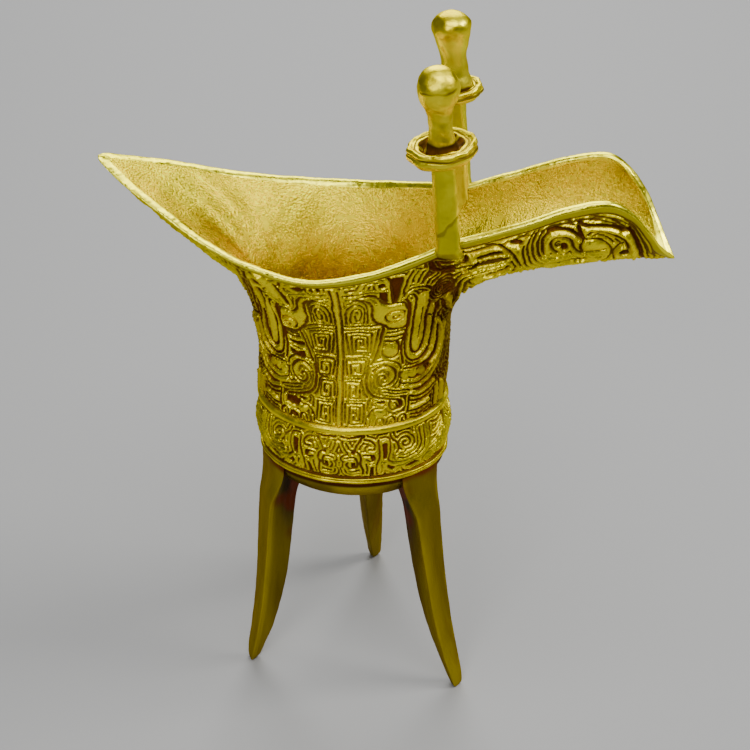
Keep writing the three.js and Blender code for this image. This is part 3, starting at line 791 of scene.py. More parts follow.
class SpoutOrnament:
    """The dragon scrolls on the spout's flanks, drawn along the spout and up the height."""
    # The long lines, slots and forked band between the post and the great scroll
    BACK_LINES = """
    groove .4: 22,116.2 24.6,117 27.4,118.4 30,119.4
    groove .4: 22,115 25,115.8 28,117.6 32,119 36.6,120.7
    groove .75 .8 -.75: 24,104 24.8,108.4 25.6,112 26.6,114.4 28.4,115.8 32,117 34.8,118.3
    groove .45: 23,105 23.6,109.6 24.4,113 25.8,115.2 28,116.8
    ridge .5 .3: 23.5,104 24.2,109 25,112.6 26.2,114.9 28.4,116.3 32,117.8 35.8,119.4
    ridge .5 .3: 26.6,116.6 30,118.5 33,119.9 36,121.1
    groove .7 .9 -.75: 28,117.7 30.4,118.9 32.4,119.7 34.4,120.5 36.4,121.3
    ridge .5 .3: 28.9,119.9 32,121 35,121.9 36.7,121.8
    pit: 29.8,120.8 31.4,121.5 33,122.2 34.7,122.8 35.3,122.6 34.4,121.9 32.8,121.3 31,120.6 30,120.3
    ridge .5 .3: 29.2,121.8 31,122.6 33,123.2 34.9,123.5 35.9,122.9
    groove .5 .5: 29,123.2 31,123.9 33.4,124.2 35.2,124.1 36.6,123.2 37.6,121.6 38.3,119.8 39.1,118
    groove .65 .8 -.75: 22,117.4 24,117.9 25.8,118.9 27.2,119.8 27.6,121
    ridge .45: 22,118.4 24,118.8 25.6,119.8 26.4,121
    groove .4: 22,119.4 24,119.8 25.4,121 27,121.9
    pad .35: 28.1,121.6 29,121.2 29.2,119.9 28.4,119.6
    groove .4: 22,121 25,121.9 27.6,122.8 30,124.4 33,125
    groove .4: 22.4,122.6 26,123.6 29.4,125 32.4,126.6 36,127.9 39.4,129
    pit: 36.5,124.9 37.6,125.4 39,125.6 39.6,125.2 39,124.5 38,124.4 37.2,124.6
    ridge .95 .4: 31.2,126 33.2,125.7 35,125.3 36.3,124.5 37.8,123.6 39.1,123.7 39.9,124.9 40.7,126.3
        41.7,127.5 42.9,128.5 44,129
    pad .5: 32.2,125.5 33.2,126.2 34.3,125.8 33.8,125.1
    groove .35: 34,126.9 36,126.6 38,126.4 39.4,126.6 40.4,127.4 39.6,127.7 38,127.4 36,127.7 34.4,127.6
    groove .6 .9 -.75: 40.4,128.3 41.6,128.8 42.8,129.3 44.2,129.7
    groove .6 .6 -.75: 31.2,115.2 33,116 35.2,117.2 36.4,118.4
    ridge .7 .35: 29.2,113.2 30.6,114.6 32.6,115.2 35,116.4 36.7,117.6
    """
    # The big hooked spiral in the middle of the flank with its rings of arcs
    GREAT_SCROLL = """
    groove .42: 44.8,119.4 43.5,120.4 42.8,122 42.5,123.6 42.7,125.5 43.5,127.2 44.8,128.5 46.6,129.4
        48.6,129.8 50.2,129.5
    groove .42: 43.8,118.4 42.4,119.6 41.7,121.4 41.5,123.4 41.7,125.6 42.5,127.5 43.9,129 45.6,130
        47.6,130.5 49.6,130.5
    groove .42: 42.8,117.6 41.4,118.8 40.8,120.6 40.5,122.8 40.7,125 41.5,127.1 42.6,128.7 44,129.9
    groove .42: 41.8,116.8 40.4,118 39.8,120 39.6,122.4 39.9,124.4
    groove .8 .8 -.75: 45.2,127.9 46.6,128.5 48,128.6 49.5,128.2 50.8,127.4 51.9,126.3
    groove .5 .6: 45.2,127.6 44,126.6 43.4,125 43.5,123.2 44.3,121.7
    ridge 1.1 .35: 44.4,122.6 44.4,124.6 45.1,126 46.5,127 48.5,127.3 50.3,126.8 51.7,125.6
    groove .5 .5: 46.9,122.2 45.8,123.2 45.4,124.8 46,126 47.4,126.5 48.8,126.2 49.8,125.3 50.2,124 51,122.7
        52.1,121.9
    pit: 47.6,124.9 48.6,124.8 49.1,123.8 48.6,123 47.8,123.2
    curl .36 1.2 80: 47,124.4 .75,.75
    pit: 50.8,129.7 51.6,129.4 52,128.2 52.4,126.9 52.9,125.8 52.3,125.7 51.6,126.9 51,128.4
    pad .4: 52.3,124.3 53,125 54.6,125.1 56,124.7 56.8,124 56.6,123.2 55.4,122.9 53.6,122.9 52.5,123.4
    groove .5 .6: 52.4,125.9 51.8,124.9 51.6,123.8 52,122.7 53.2,122.2 55.4,122.2 57,122.6
    groove .45: 53,125.7 55,125.7 56.6,125.2 57.6,124 58.2,122.4 58,120.4 57.2,119 55.8,118.2
    """
    # The second scroll and the long lines that follow the lip round the nose
    NOSE = """
    groove .42: 43,129.9 45,131.2 46.5,131.9 49,132.5 52,132.7 56,132.5 58.5,131.9 60.5,130.7 62.5,128.6
        64,126 65.2,123 66.2,119.5 66.6,114
    groove .4: 47,131.2 50,131.7 54,131.6 57,131.2 59.5,129.9 61.5,127.9 62.4,126.6
    groove .85 .95 -.75: 61.9,127.6 63,125.8 64,123.2 64.8,120 65.2,117 65.3,114
    groove .38: 50.5,130.8 53,130.8 56,130.5 58.5,129.8 60.4,128.4 61.6,127
    groove .75 .7 -.75: 51.1,130.5 52,129.8 53.5,129.4 56,129.4 58.5,129 59.8,128.4 60.8,127.4
    ridge .95 .35: 52.9,128.5 56,128.5 58.5,127.9 60.4,126.5 61.9,124.6 62.8,122.4 63.2,119
    groove .5 .5: 53.4,127 54.4,127.8 55.8,127.9 57.4,127.4 59.3,126.2 60.9,124.5 61.8,122.6
    groove .4: 54.3,126.5 55.2,127 56.4,126.7 57.6,125.9 58.6,124.6
    pit: 54.9,126.2 56,126.1 56.6,125.8 55.8,125.5
    groove .4: 58.8,125.6 59.9,124.4
    pit: 60,121.6 61,122.4 61.9,121.8 62,120.6 60.8,120.3 60,120.8
    ridge .5 .35: 59.5,119.8 59.3,121.4 60,122.8 61,123.2
    groove .45: 58.9,119 58.5,121.2 59.2,123.2 60.4,124
    groove .45: 58.8,118.6 60.4,119 62.2,119.4
    """
    # The slots and lines along the spout's underside
    UNDER_LINES = """
    ridge .5 .3: 43.5,120.7 45.5,120.6 48,120.9 50.8,120.9
    groove .35: 43.8,120 46,119.9 48,120.3 51,120.3
    pit: 45.4,118.9 47.5,119.1 50,119.7 52,120.1 53,119.8 52.6,119 50,118.7 47.6,118.3 45.8,118.2
    ridge .6 .35: 44.2,117.6 47,117.6 49.5,118.1 52.4,118.8
    groove .5 .6: 44,116.7 47,116.8 50,117.3 53,118
    groove .6: 43,114.6 47,115.4 51,116.4 56,117.6
    ridge .6 .35: 53.8,121.1 55,121 56.4,120.7
    groove .5 .7: 53.8,120.2 56.4,119.9
    pad .35: 54,119.3 55,119.5 56,119.2 55,118.7
    bundle 4 .6: 38.4,116.4 41,114.6 46,114 52,115 36,110 42,110.6 50,111.6 60,113
    """

    def canvas(self) -> Canvas:
        """Draws one flank, which the far one repeats."""
        canvas = Canvas(20.0, 96.0, 74.0, 137.0)
        canvas.work(drawn(self.BACK_LINES + self.GREAT_SCROLL + self.NOSE + self.UNDER_LINES))
        canvas.echo(1.25)
        return canvas


class FriezeOrnament:
    """The scrolls of the swelling frieze between the rings, by the way round the oval and the height."""
    # The frieze to the right of the middle
    RIGHT = """
    groove .45 .7: 0,73.8 2.4,73.7 4.6,73.9
    groove .5 .6: 4.9,74 4.2,72.9 3.2,71.4 3,70.4 3.9,69.6 4.2,68.2 3.9,66.8 4.3,65 4.4,63
    groove .42: 1,72.4 1.6,71 2.6,70.6
    pit: 2,70.5 2.8,70.4 3,69.8 2.2,69.7
    groove .5 .5: .6,68.6 1.4,68.8 2.8,68.7 3.3,67.6 3.2,66.2 2.4,65.5 1.4,65.6 1,66.6 1.2,67.4
    pit: 2,67.4 2.8,67.3 2.8,65.9 2,65.9
    groove .42: .5,65.2 .7,63.9 2,63.3 3.5,63.5
    groove .45 .6: 5.2,73.2 6.6,72.9 7.6,71.8 7.2,70.8 6.2,70.9
    groove .5 .7: 4.9,69.4 6,69.5 6.9,69.2 7.2,68.2 6.4,67.7 5.4,68.2
    pit: 6.3,69.7 7.2,69.5 7.1,68.2 6.5,68.1
    pit: 6.2,66 7,65.9 6.9,62.9 6.2,63
    groove .45: 5.2,67 5.4,65.4 5.3,63.2
    groove .45: 7.8,66.6 7.7,64.8 7.8,63
    groove .5 .7: 8.4,72.8 8.5,70.4 8.2,68.2 7.9,67
    pit -.8: 9,71.8 10.2,71.8 10.1,69 9.8,67.8 9.2,68.2
    groove .5 .7: 8.8,73.3 10.2,73.2 10.9,72.4 10.8,70 10.4,67.6 11.4,66.6
    groove .42: 9,66.4 9.2,64.8 8.9,63.1
    pit: 10.2,66.2 11.6,65.2 12.2,64.4 11.4,63.8 10.4,64.8
    groove .5 .6: 11.2,73.8 11.5,72.6 12.6,71.4 12.8,70 12.2,69
    curl .5 1.5 240 -1: 14.6,71.2 2,1.8
    groove .55 .6: 12.6,67.6 14.4,67.2 16.6,67.6 17.8,69 18.4,71 18.6,73.6
    groove .5 .5: 11.8,66.4 14.2,66.2 16.8,66.4 18.6,67.8 19.4,70 19.7,73.4
    groove .45: 12.4,65 15,65.2 18,65.6 20,67.4 21,70 21.4,73.2
    pit: 14.6,64.6 17,64.9 18.4,64.2 16.4,63.3 14.8,63.6
    bundle 4 .45: 20.2,64.4 23,66.2 25.6,69 27.6,73.4 22,73.3 23.4,73 25,73.2 26.4,73.6
    bundle 3 .45: 21.4,63 25,64.4 28,67.4 30,71 24,62.8 27,63 29.6,64.4 31.4,66.4
    groove .45: 28.6,73.4 29.6,71.6 31.4,70.8
    """

    def canvas(self) -> Canvas:
        """Draws the frieze right round, the left half first."""
        canvas = Canvas(-31.5, 60.0, 31.5, 77.0)
        right = drawn(self.RIGHT)
        canvas.work([replace(stroke, points=stroke.points * (-1.0, 1.0) - (1.3, 0.0)) for stroke in right])
        canvas.work(right)
        return canvas


class TailOrnament:
    """Long lines that fan out from the tail's tip, drawn by length and by depth below the edge."""
    LINES = """
    pit -.55: -52,3.1 -45,2.9 -37,3 -29,3.6 -28,4.8 -36,4.9 -44,4.5 -51,4
    ridge .9 .5: -53,4.9 -44,5.6 -35,6.2 -28,7 -22,9 -18,12
    bundle 7 .5 .55: -53,6.1 -44,6.9 -34,7.8 -27,9.8 -22,13.5 -19,19 -49,9.6 -42,14 -36,19 -31,25 -28,32
        -26,40
    pit: -41,8.6 -36,9 -31,10.4 -31.4,11.3 -36,10.2 -41,9.5
    ridge .9 .45: -45,8.6 -38,11.4 -32,16 -28,22 -26,30
    """

    def canvas(self) -> Canvas:
        """Draws one flank of the tail, which the far one repeats."""
        canvas = Canvas(-58.0, 0.0, -16.0, 46.0)
        canvas.work(drawn(self.LINES))
        canvas.echo(1.0)
        return canvas


class Relief:
    """Looks up the ornament at places of the vessel's outer skin."""
    BAND = 2.3
    LIP_LINE = 3.4
    LIP_LINE_LEVEL = -0.3
    PITCH = 0.86
    SPOUT_STARTS = (24.2, 25.8)
    TAIL_STARTS = (20.5, 23.0)

    def __init__(self) -> None:
        """Draws the canvases."""
        self.body = BodyOrnament().canvas()
        self.body.echo(self.PITCH)
        self.spout = SpoutOrnament().canvas()
        self.tail = TailOrnament().canvas()
        self.frieze = FriezeOrnament().canvas()
        self.frieze.echo(self.PITCH)
        for canvas in (self.body, self.spout, self.tail, self.frieze):
            canvas.round_off()
        self.drift = Waver(3, 5.0)
        self.shake = Waver(4, 1.6)
        self.wear = Waver(5, 8.0)

    def wandering(self, points: np.ndarray) -> tuple[np.ndarray, np.ndarray]:
        """How far the hand of the carver strayed at each point, across and up."""
        mirrored = np.roll(points, 1, axis=-1)
        return (0.13 * self.drift(points) + 0.05 * self.shake(points),
                0.13 * self.drift(mirrored) + 0.05 * self.shake(mirrored))

    def weathered(self, points: np.ndarray, height: np.ndarray) -> np.ndarray:
        """The relief with some lines worn shallower and a grainy skin."""
        return height * (1 + 0.22 * self.wear(points)) + 0.03 * self.shake(points * 1.7)

    def wall(self, sample: WallSample) -> tuple[np.ndarray, np.ndarray, np.ndarray]:
        """Relief height, cavity and stain of the wall above the upper ring, with painted shade added on the
        flanks.

        Args:
            sample: the wall's points with their headings and distances below the edge.

        Returns:
            The heights, the cavities and the stains.
        """
        x, _, z = np.moveaxis(sample.points, -1, 0)
        below, side = sample.below, around(sample.heading)
        across, up = self.wandering(sample.points)
        on_spout = smoothstep(x, *self.SPOUT_STARTS)
        on_tail = smoothstep(-x, *self.TAIL_STARTS)
        height, stain = self.body.sample(side + across, z + up)
        for canvas, row, share in ((self.spout, z, on_spout), (self.tail, below, on_tail)):
            over_height, over_stain = canvas.sample(x + across, row + up)
            height = height + (over_height - height) * share
            stain = stain + (over_stain - stain) * share
        height = height + (self.LIP_LINE_LEVEL - height) * near(below - self.LIP_LINE, 0.1, 0.33) * on_spout
        height = height * (1 - 0.85 * smoothstep(x, 60, 63) * fall(z, 115, 117.5))
        outer = np.clip(smoothstep(np.abs(side), 13, 22) + on_spout + on_tail, 0, 1)
        height = self.weathered(sample.points, height) * (1 + 0.35 * outer)
        behind = smoothstep(-np.cos(sample.heading), 0.55, 0.9)
        swell = 0.8 * behind * smoothstep(z, 90, 99) * fall(z, 106, 113)
        swell = swell + 0.3 * outer * smoothstep(below, 2.8, 5.0) * smoothstep(z, 77.5, 82)
        clear = fall(below, self.BAND + 0.2, self.BAND + 0.7)
        border = near(below - self.BAND, 0.12, 0.45)
        foot = fall(z, FORM.upper_ring + 0.95, FORM.upper_ring + 1.5)
        height = (height * (1 - clear) + GROOVE * border) * (1 - foot) + GROOVE * foot
        stain = np.maximum((stain * (1 - clear) + 0.5 * border) * (1 - foot), 0.6 * foot)
        worn = smoothstep(side, -9, 0) * fall(side, 9, 15) * fall(z, 92, 108)
        # Painted shade: the flanks, away from the spout and the tail, get a darker, less metallic look
        # through the cavity and the stain.
        dull_and_painted_shade = 0.6 * smoothstep(np.abs(side), 12.5, 19) * (1 - on_spout) * (1 - 0.6 * on_tail)
        return height + swell, dull_and_painted_shade - height / 0.5 * (1 - 0.4 * worn), stain * (1 - 0.3 * worn) + 0.9 * dull_and_painted_shade

    def band(self, points: np.ndarray, heading: np.ndarray) -> tuple[np.ndarray, np.ndarray]:
        """Relief height and stain of the frieze between the rings.

        Args:
            points: the band's points.
            heading: their headings from minus half a turn to half a turn.

        Returns:
            The heights and the stains.
        """
        z = points[..., 2]
        across, up = self.wandering(points)
        height, stain = self.frieze.sample(around(heading) + across, z + up)
        height = self.weathered(points, height)
        low = FORM.lower_ring + FORM.ring_width / 2
        high = FORM.upper_ring - FORM.ring_width / 2
        within = smoothstep(z, low, low + 0.3) * fall(z, high - 0.3, high)
        edge = np.maximum(near(z - low, 0.05, 0.4), near(z - high, 0.05, 0.4))
        thread = near(z - FORM.lower_ring - 0.15, 0.05, 0.28)
        dents = 0.05 * self.drift(points)
        height = height * within + GROOVE * 0.75 * edge - 0.3 * thread + dents
        return height, np.maximum(stain * within, np.maximum(0.6 * edge, 0.4 * thread))


# Building meshes

@dataclass
class Placement:
    """Moves points from the cup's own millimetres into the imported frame's metres."""
    offset: np.ndarray

    @classmethod
    def from_frame(cls) -> "Placement":
        """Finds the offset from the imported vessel's box."""
        low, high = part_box("vessel_body")
        return cls(np.array([SPOUT_REACH - high[0] / MM, -MOUTH_HALF - low[1] / MM, 0.0]))

    def metres(self, points: np.ndarray) -> np.ndarray:
        """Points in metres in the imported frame."""
        return (points - self.offset) * MM


PLACE = Placement.from_frame()


def show(name: str, mesh: bpy.types.Mesh) -> bpy.types.Object:
    """Puts a finished mesh in the scene as a smoothly shaded object at the origin."""
    mesh.polygons.foreach_set("use_smooth", [True] * len(mesh.polygons))
    piece = bpy.data.objects.new(name, mesh)
    bpy.context.scene.collection.objects.link(piece)
    return piece


@contextmanager
def net_of(mesh: bpy.types.Mesh) -> Iterator[bmesh.types.BMesh]:
    """Opens a mesh as a net of points and faces, and writes the changed net back."""
    net = bmesh.new()
    net.from_mesh(mesh)
    yield net
    net.to_mesh(mesh)
    net.free()


def note(mesh: bpy.types.Mesh, cavity_and_painted_light: np.ndarray, stain: np.ndarray) -> None:
    """Notes on a mesh what its finish looks up at each point.

    Args:
        mesh: the mesh.
        cavity_and_painted_light: how deep each point lies in the relief, with painted shade and painted
            highlight added on some pieces.
        stain: how much red-brown patina lies there, with painted shade added on the bowl's flanks and the
            legs' inner sides.
    """
    for key, values in (("cavity_and_painted_light", cavity_and_painted_light), ("stain", stain)):
        layer = mesh.attributes.new(key, "FLOAT", "POINT")
        layer.data.foreach_set("value", values.astype(np.float32).reshape(-1))


def sheet(name: str, points: np.ndarray, cavity_and_painted_light: np.ndarray, stain: np.ndarray,
          normals: np.ndarray | None = None, weld: bool = False, flip: bool = False) -> bpy.types.Object:
    """Lays a grid over rows and columns of points.

    Args:
        name: the piece's name.
        points: an array of rows by columns by three, in the cup's millimetres.
        cavity_and_painted_light: how deep each point lies in the relief, from -1 proud to 1 sunk, with
            painted shade and painted highlight added on some pieces.
        stain: how much red-brown patina lies at each point, with painted shade added on some pieces.
        normals: a normal for each point, or None to leave them to the mesh.
        weld: whether the last column is the first again, and points that meet are joined.
        flip: whether the faces are turned over.

    Returns:
        The new object, at the origin.
    """
    rows, columns = points.shape[:2]
    mesh = bpy.data.meshes.new(name)
    with net_of(mesh) as net:
        bmesh.ops.create_grid(net, x_segments=columns - 1, y_segments=rows - 1, size=0.5)
        if flip:
            bmesh.ops.reverse_faces(net, faces=net.faces)
    if weld:
        points[:, -1] = points[:, 0]
    mesh.vertices.foreach_set("co", PLACE.metres(points).reshape(-1))
    note(mesh, cavity_and_painted_light, stain)
    if weld:
        with net_of(mesh) as net:
            bmesh.ops.remove_doubles(net, verts=net.verts, dist=1e-6)
    mesh.update()
    piece = show(name, mesh)
    if normals is not None:
        mesh.normals_split_custom_set_from_vertices(normals.reshape(-1, 3).tolist())
    return piece


def slopes(points: np.ndarray) -> np.ndarray:
    """Unit normals of a grid of points, from its rows and columns."""
    normal = np.cross(np.gradient(points, axis=1), np.gradient(points, axis=0))
    length = np.linalg.norm(normal, axis=-1, keepdims=True)
    return normal / np.maximum(length, 1e-12)


def raised(points: np.ndarray, height: np.ndarray) -> np.ndarray:
    """A grid of points moved out of its own surface by a height at each of them."""
    return points + slopes(points) * height[..., None]


@dataclass(frozen=True)
class Pose:
    """Where a piece built in its own millimetres stands on the cup."""
    place: tuple[float, float, float]
    heading: float = 0.0
    lean: float = 0.0

    def matrix(self) -> Matrix:
        """The move from the piece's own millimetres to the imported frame's metres."""
        shift = Matrix.Translation(Vector(self.place) - Vector(PLACE.offset))
        turn = Matrix.Rotation(math.radians(self.heading), 4, "Z")
        tilt = Matrix.Rotation(math.radians(self.lean), 4, "Y")
        return Matrix.Scale(MM, 4) @ shift @ turn @ tilt

    def points(self, local: np.ndarray) -> np.ndarray:
        """Local points moved to the cup's millimetres."""
        matrix = Matrix.Scale(1 / MM, 4) @ self.matrix()
        rotation = np.array(matrix.to_3x3())
        return local @ rotation.T + np.array(matrix.translation) + PLACE.offset


def turned(name: str, profile: np.ndarray, pose: Pose, shape: Callable[[np.ndarray], np.ndarray],
           steps: int = 96) -> bpy.types.Object:
    """Spins a profile into a closed round piece and lets a rule reshape its points.

    Args:
        name: the piece's name.
        profile: radii and heights from the lower pole to the upper one.
        pose: where the piece stands.
        shape: takes the local points and gives them back moved.
        steps: how many steps the spin takes.

    Returns:
        The new object.
    """
    net = bmesh.new()
    verts = [net.verts.new((radius, 0.0, height)) for radius, height in profile]
    edges = [net.edges.new(pair) for pair in zip(verts[:-1], verts[1:])]
    bmesh.ops.spin(net, geom=[*verts, *edges], cent=(0, 0, 0), axis=(0, 0, 1), dvec=(0, 0, 0),
                   angle=2 * math.pi, steps=steps, use_merge=True, use_duplicate=False)
    bmesh.ops.remove_doubles(net, verts=net.verts, dist=1e-4)
    bmesh.ops.recalc_face_normals(net, faces=net.faces)
    moved = shape(np.array([vert.co for vert in net.verts]))
    for vert, place in zip(net.verts, moved.tolist()):
        vert.co = place
    bmesh.ops.transform(net, matrix=pose.matrix(), verts=net.verts)
    return piece_of(name, net)


def piece_of(name: str, net: bmesh.types.BMesh) -> bpy.types.Object:
    """Turns a finished net into an object."""
    mesh = bpy.data.meshes.new(name)
    net.to_mesh(mesh)
    net.free()
    return show(name, mesh)


def blunted(corners: np.ndarray, cuts: np.ndarray, full: float, steps: int, runs: int,
            crown: float = 0.0) -> np.ndarray:
    """The closed outline of a section with blunted corners.

    Args:
        corners: the sharp corners in order.
        cuts: how far back each corner is cut along its sides.
        full: how round the cut is, from 0 for a flat to 1 for an even bend.
        steps: how many points a corner takes.
        runs: how many steps a side takes.
        crown: how far the middle of a side stands out.

    Returns:
        The points, with the first again at the end.
    """
    def towards(corner: np.ndarray, other: np.ndarray, cut: float) -> np.ndarray:
        """The place at that distance from one corner towards another."""
        return corner + (other - corner) * cut / np.linalg.norm(other - corner)

    points = []
    for i, corner in enumerate(corners):
        j = (i + 1) % len(corners)
        after = corners[j]
        start, end = towards(corner, corners[i - 1], cuts[i]), towards(corner, after, cuts[i])
        for t in np.linspace(0, 1, steps):
            bend = start * (1 - t) ** 2 + 2 * corner * t * (1 - t) + end * t ** 2
            points.append((start * (1 - t) + end * t) * (1 - full) + bend * full)
        goal = towards(after, corner, cuts[j])
        out = np.array([after[1] - corner[1], corner[0] - after[0]])
        out = out / np.linalg.norm(out)
        for t in np.linspace(0, 1, runs)[1:-1]:
            points.append(end + (goal - end) * t + out * (crown * math.sin(math.pi * t)))
    return np.array([*points, points[0]])


# Finishes

@dataclass(frozen=True)
class GiltFinish:
    """Gilding over bronze: bright where it stands out, red-brown where it lies deep, and darker where a piece
    paints shade into its cavity values.
    """
    name: str
    bright: tuple[float, ...]
    shade: tuple[float, ...]
    # The recess colour is patina in hollows, and painted shade where a piece paints shade into its cavity
    # values.
    recess_and_painted_shade: tuple[float, ...]
    stain: tuple[float, ...]
    smooth: float = 0.26
    rough: float = 0.46
    grain_size: float = 0.5
    grain_height: float = 0.05
    patch_size: float = 9.0
    stained: float = 0.5
    brushed: float = 1.0
    speckled: float = 0.0

    def material(self) -> bpy.types.Material:
        """Builds the node material."""
        material = bpy.data.materials.new(self.name)
        material.use_nodes = True
        nodes, links = material.node_tree.nodes, material.node_tree.links
        shader = nodes["Principled BSDF"]
        shader.inputs["Specular Tint"].default_value = self.bright
        mapping = nodes.new("ShaderNodeMapping")
        mapping.inputs["Scale"].default_value = (1.0, 1.0, self.brushed)
        links.new(nodes.new("ShaderNodeTexCoord").outputs["Object"], mapping.inputs["Vector"])

        def noise(size: float, detail: float, rough: float = 0.5) -> bpy.types.NodeSocket:
            """A noise whose features have that size in millimetres."""
            node = nodes.new("ShaderNodeTexNoise")
            node.inputs["Scale"].default_value = 1.0 / (size * MM)
            node.inputs["Detail"].default_value = detail
            node.inputs["Roughness"].default_value = rough
            links.new(mapping.outputs["Vector"], node.inputs["Vector"])
            return node.outputs["Fac"]

        def attribute(name: str) -> bpy.types.NodeSocket:
            """A value stored on the mesh, which is nothing where a piece lacks it."""
            node = nodes.new("ShaderNodeAttribute")
            node.attribute_name = name
            return node.outputs["Fac"]

        def spread(source: bpy.types.NodeSocket, low: float, high: float, out_low: float = 0.0,
                   out_high: float = 1.0) -> bpy.types.NodeSocket:
            """Maps a range of values onto another, smoothly."""
            node = nodes.new("ShaderNodeMapRange")
            node.interpolation_type = "SMOOTHSTEP"
            ends = (low, high, out_low, out_high)
            for key, value in zip(("From Min", "From Max", "To Min", "To Max"), ends):
                node.inputs[key].default_value = value
            links.new(source, node.inputs["Value"])
            return node.outputs["Result"]

        def sums(kind: str, first: bpy.types.NodeSocket,
                 second: bpy.types.NodeSocket) -> bpy.types.NodeSocket:
            """Joins two values by a named sum."""
            node = nodes.new("ShaderNodeMath")
            node.operation = kind
            links.new(first, node.inputs[0])
            links.new(second, node.inputs[1])
            return node.outputs["Value"]

        def blend(share: bpy.types.NodeSocket, first: object, second: object) -> bpy.types.NodeSocket:
            """Mixes two colours, each a colour or a socket."""
            node = nodes.new("ShaderNodeMix")
            node.data_type = "RGBA"
            links.new(share, node.inputs["Factor"])
            for socket, value in ((node.inputs[6], first), (node.inputs[7], second)):
                if isinstance(value, tuple):
                    socket.default_value = value
                else:
                    links.new(value, socket)
            return node.outputs[2]

        cavity_and_painted_light = attribute("cavity_and_painted_light")
        # sunk turns the colour towards the recess colour: patina in the grooves, and painted shade on the
        # bowl's flanks, the lip's outer band, the legs' sides and the band on the knob's front.
        sunk = spread(cavity_and_painted_light, 0.12, 0.7)
        # patina follows the stain values, which also carry painted shade on the bowl's flanks and the legs'
        # inner sides.
        patina = sums("MAXIMUM", spread(attribute("stain"), 0.15, 1.0, 0.0, 0.95),
                      spread(noise(self.patch_size * 0.6, 5.0, 0.7), 0.56, 0.78, 0.0, self.stained))
        colour = blend(spread(noise(self.patch_size, 3.0), 0.35, 0.65), self.bright, self.shade)
        # Raised places turn towards the bright colour: rubbed wear, and a painted highlight on the lip's
        # rounded edge.
        colour = blend(spread(cavity_and_painted_light, 0.0, -0.9, 0.0, 0.7), colour, self.bright)
        speckles = spread(noise(self.grain_size * 1.2, 2.0), 0.5, 0.66, 0.0, self.speckled)
        colour = blend(speckles, colour, self.recess_and_painted_shade)
        colour = blend(sunk, colour, self.recess_and_painted_shade)
        colour = blend(patina, colour, self.stain)
        links.new(colour, shader.inputs["Base Color"])
        # The same masks, painted shade included, make the surface less metallic and rougher.
        dull_and_painted_shade = sums("MAXIMUM", sunk, patina)
        links.new(spread(dull_and_painted_shade, 0.0, 1.0, 1.0, 0.55), shader.inputs["Metallic"])
        polish = spread(noise(self.grain_size * 4, 4.0), 0.3, 0.7, self.smooth, self.rough)
        links.new(sums("ADD", polish, spread(dull_and_painted_shade, 0.0, 1.0, 0.0, 0.22)), shader.inputs["Roughness"])
        bump = nodes.new("ShaderNodeBump")
        bump.inputs["Distance"].default_value = self.grain_height * MM
        bump.inputs["Strength"].default_value = 1.0
        links.new(noise(self.grain_size, 3.0), bump.inputs["Height"])
        links.new(bump.outputs["Normal"], shader.inputs["Normal"])
        return material


class Finish(Enum):
    """The finishes of the cup; the leg finish is a darker copy of the gilt as painted shade, and the lip and
    knob finishes are paler, brighter copies as painted highlight.
    """
    RELIEF = GiltFinish("gilt_relief", linear(255, 236, 8), linear(216, 196, 4), linear(118, 86, 10),
                        linear(112, 50, 12), stained=0.3)
    PLAIN = GiltFinish("gilt_plain", linear(240, 230, 10), linear(206, 196, 8), linear(86, 58, 8),
                       linear(130, 70, 10), 0.32, 0.5, patch_size=11.0, brushed=0.22)
    # Painted shade: a darker copy of the gilt for the legs and the domed floor; its brushed streaks are the
    # casting's own.
    LEG_IN_PAINTED_SHADE = GiltFinish("gilt_leg", linear(178, 157, 12), linear(130, 111, 10), linear(44, 26, 6),
                     linear(104, 40, 10), 0.32, 0.52, grain_size=0.6, grain_height=0.13, patch_size=13.0,
                     brushed=0.15)
    # Painted highlight: a paler, brighter copy of the gilt, so the lip comes out near white.
    LIP_WITH_PAINTED_HIGHLIGHT = GiltFinish("gilt_lip", linear(255, 246, 60), linear(250, 236, 30), linear(130, 114, 8),
                     linear(120, 84, 14), 0.22, 0.36, grain_height=0.02, stained=0.2)
    INSIDE = GiltFinish("gilt_inside", linear(240, 222, 0), linear(228, 204, 0), linear(150, 108, 0),
                        linear(214, 154, 0), 0.18, 0.3, grain_size=0.45, grain_height=0.24, patch_size=14.0,
                        stained=0.4, speckled=0.36)
    # Painted highlight: a paler, brighter copy of the gilt for the knobs and collars; its orange-brown stain
    # patches stand partly for patina and partly for painted shade.
    KNOB_WITH_PAINTED_HIGHLIGHT = GiltFinish("gilt_knob", linear(255, 240, 40), linear(230, 210, 14), linear(62, 34, 8),
                      linear(156, 96, 8), 0.3, 0.46, grain_size=0.7, grain_height=0.07, patch_size=5.0,
                      stained=0.42)


@cache
def material_of(finish: Finish) -> bpy.types.Material:
    """The material of a finish, made once."""
    return finish.value.material()


def fit_out(piece: bpy.types.Object, finish: Finish, slot: str, *nodes: str) -> bpy.types.Object:
    """Finishes a piece, hangs it under the frame's root and hides the CAD nodes that it stands for.

    Args:
        piece: the new object.
        finish: its finish.
        slot: the record's slot; not used.
        nodes: the CAD nodes that it stands for.

    Returns:
        The same object.
    """
    piece.data.materials.clear()
    piece.data.materials.append(material_of(finish))
    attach(piece, "root")
    if nodes:
        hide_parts(*nodes)
    log.info("%s: %d faces", piece.name, len(piece.data.polygons))
    return piece


# The vessel

@dataclass(frozen=True)
class WallPanel:
    """One stretch of the vessel's ornamented wall between two shares of the mouth."""
    name: str
    start: float
    end: float
    columns: int


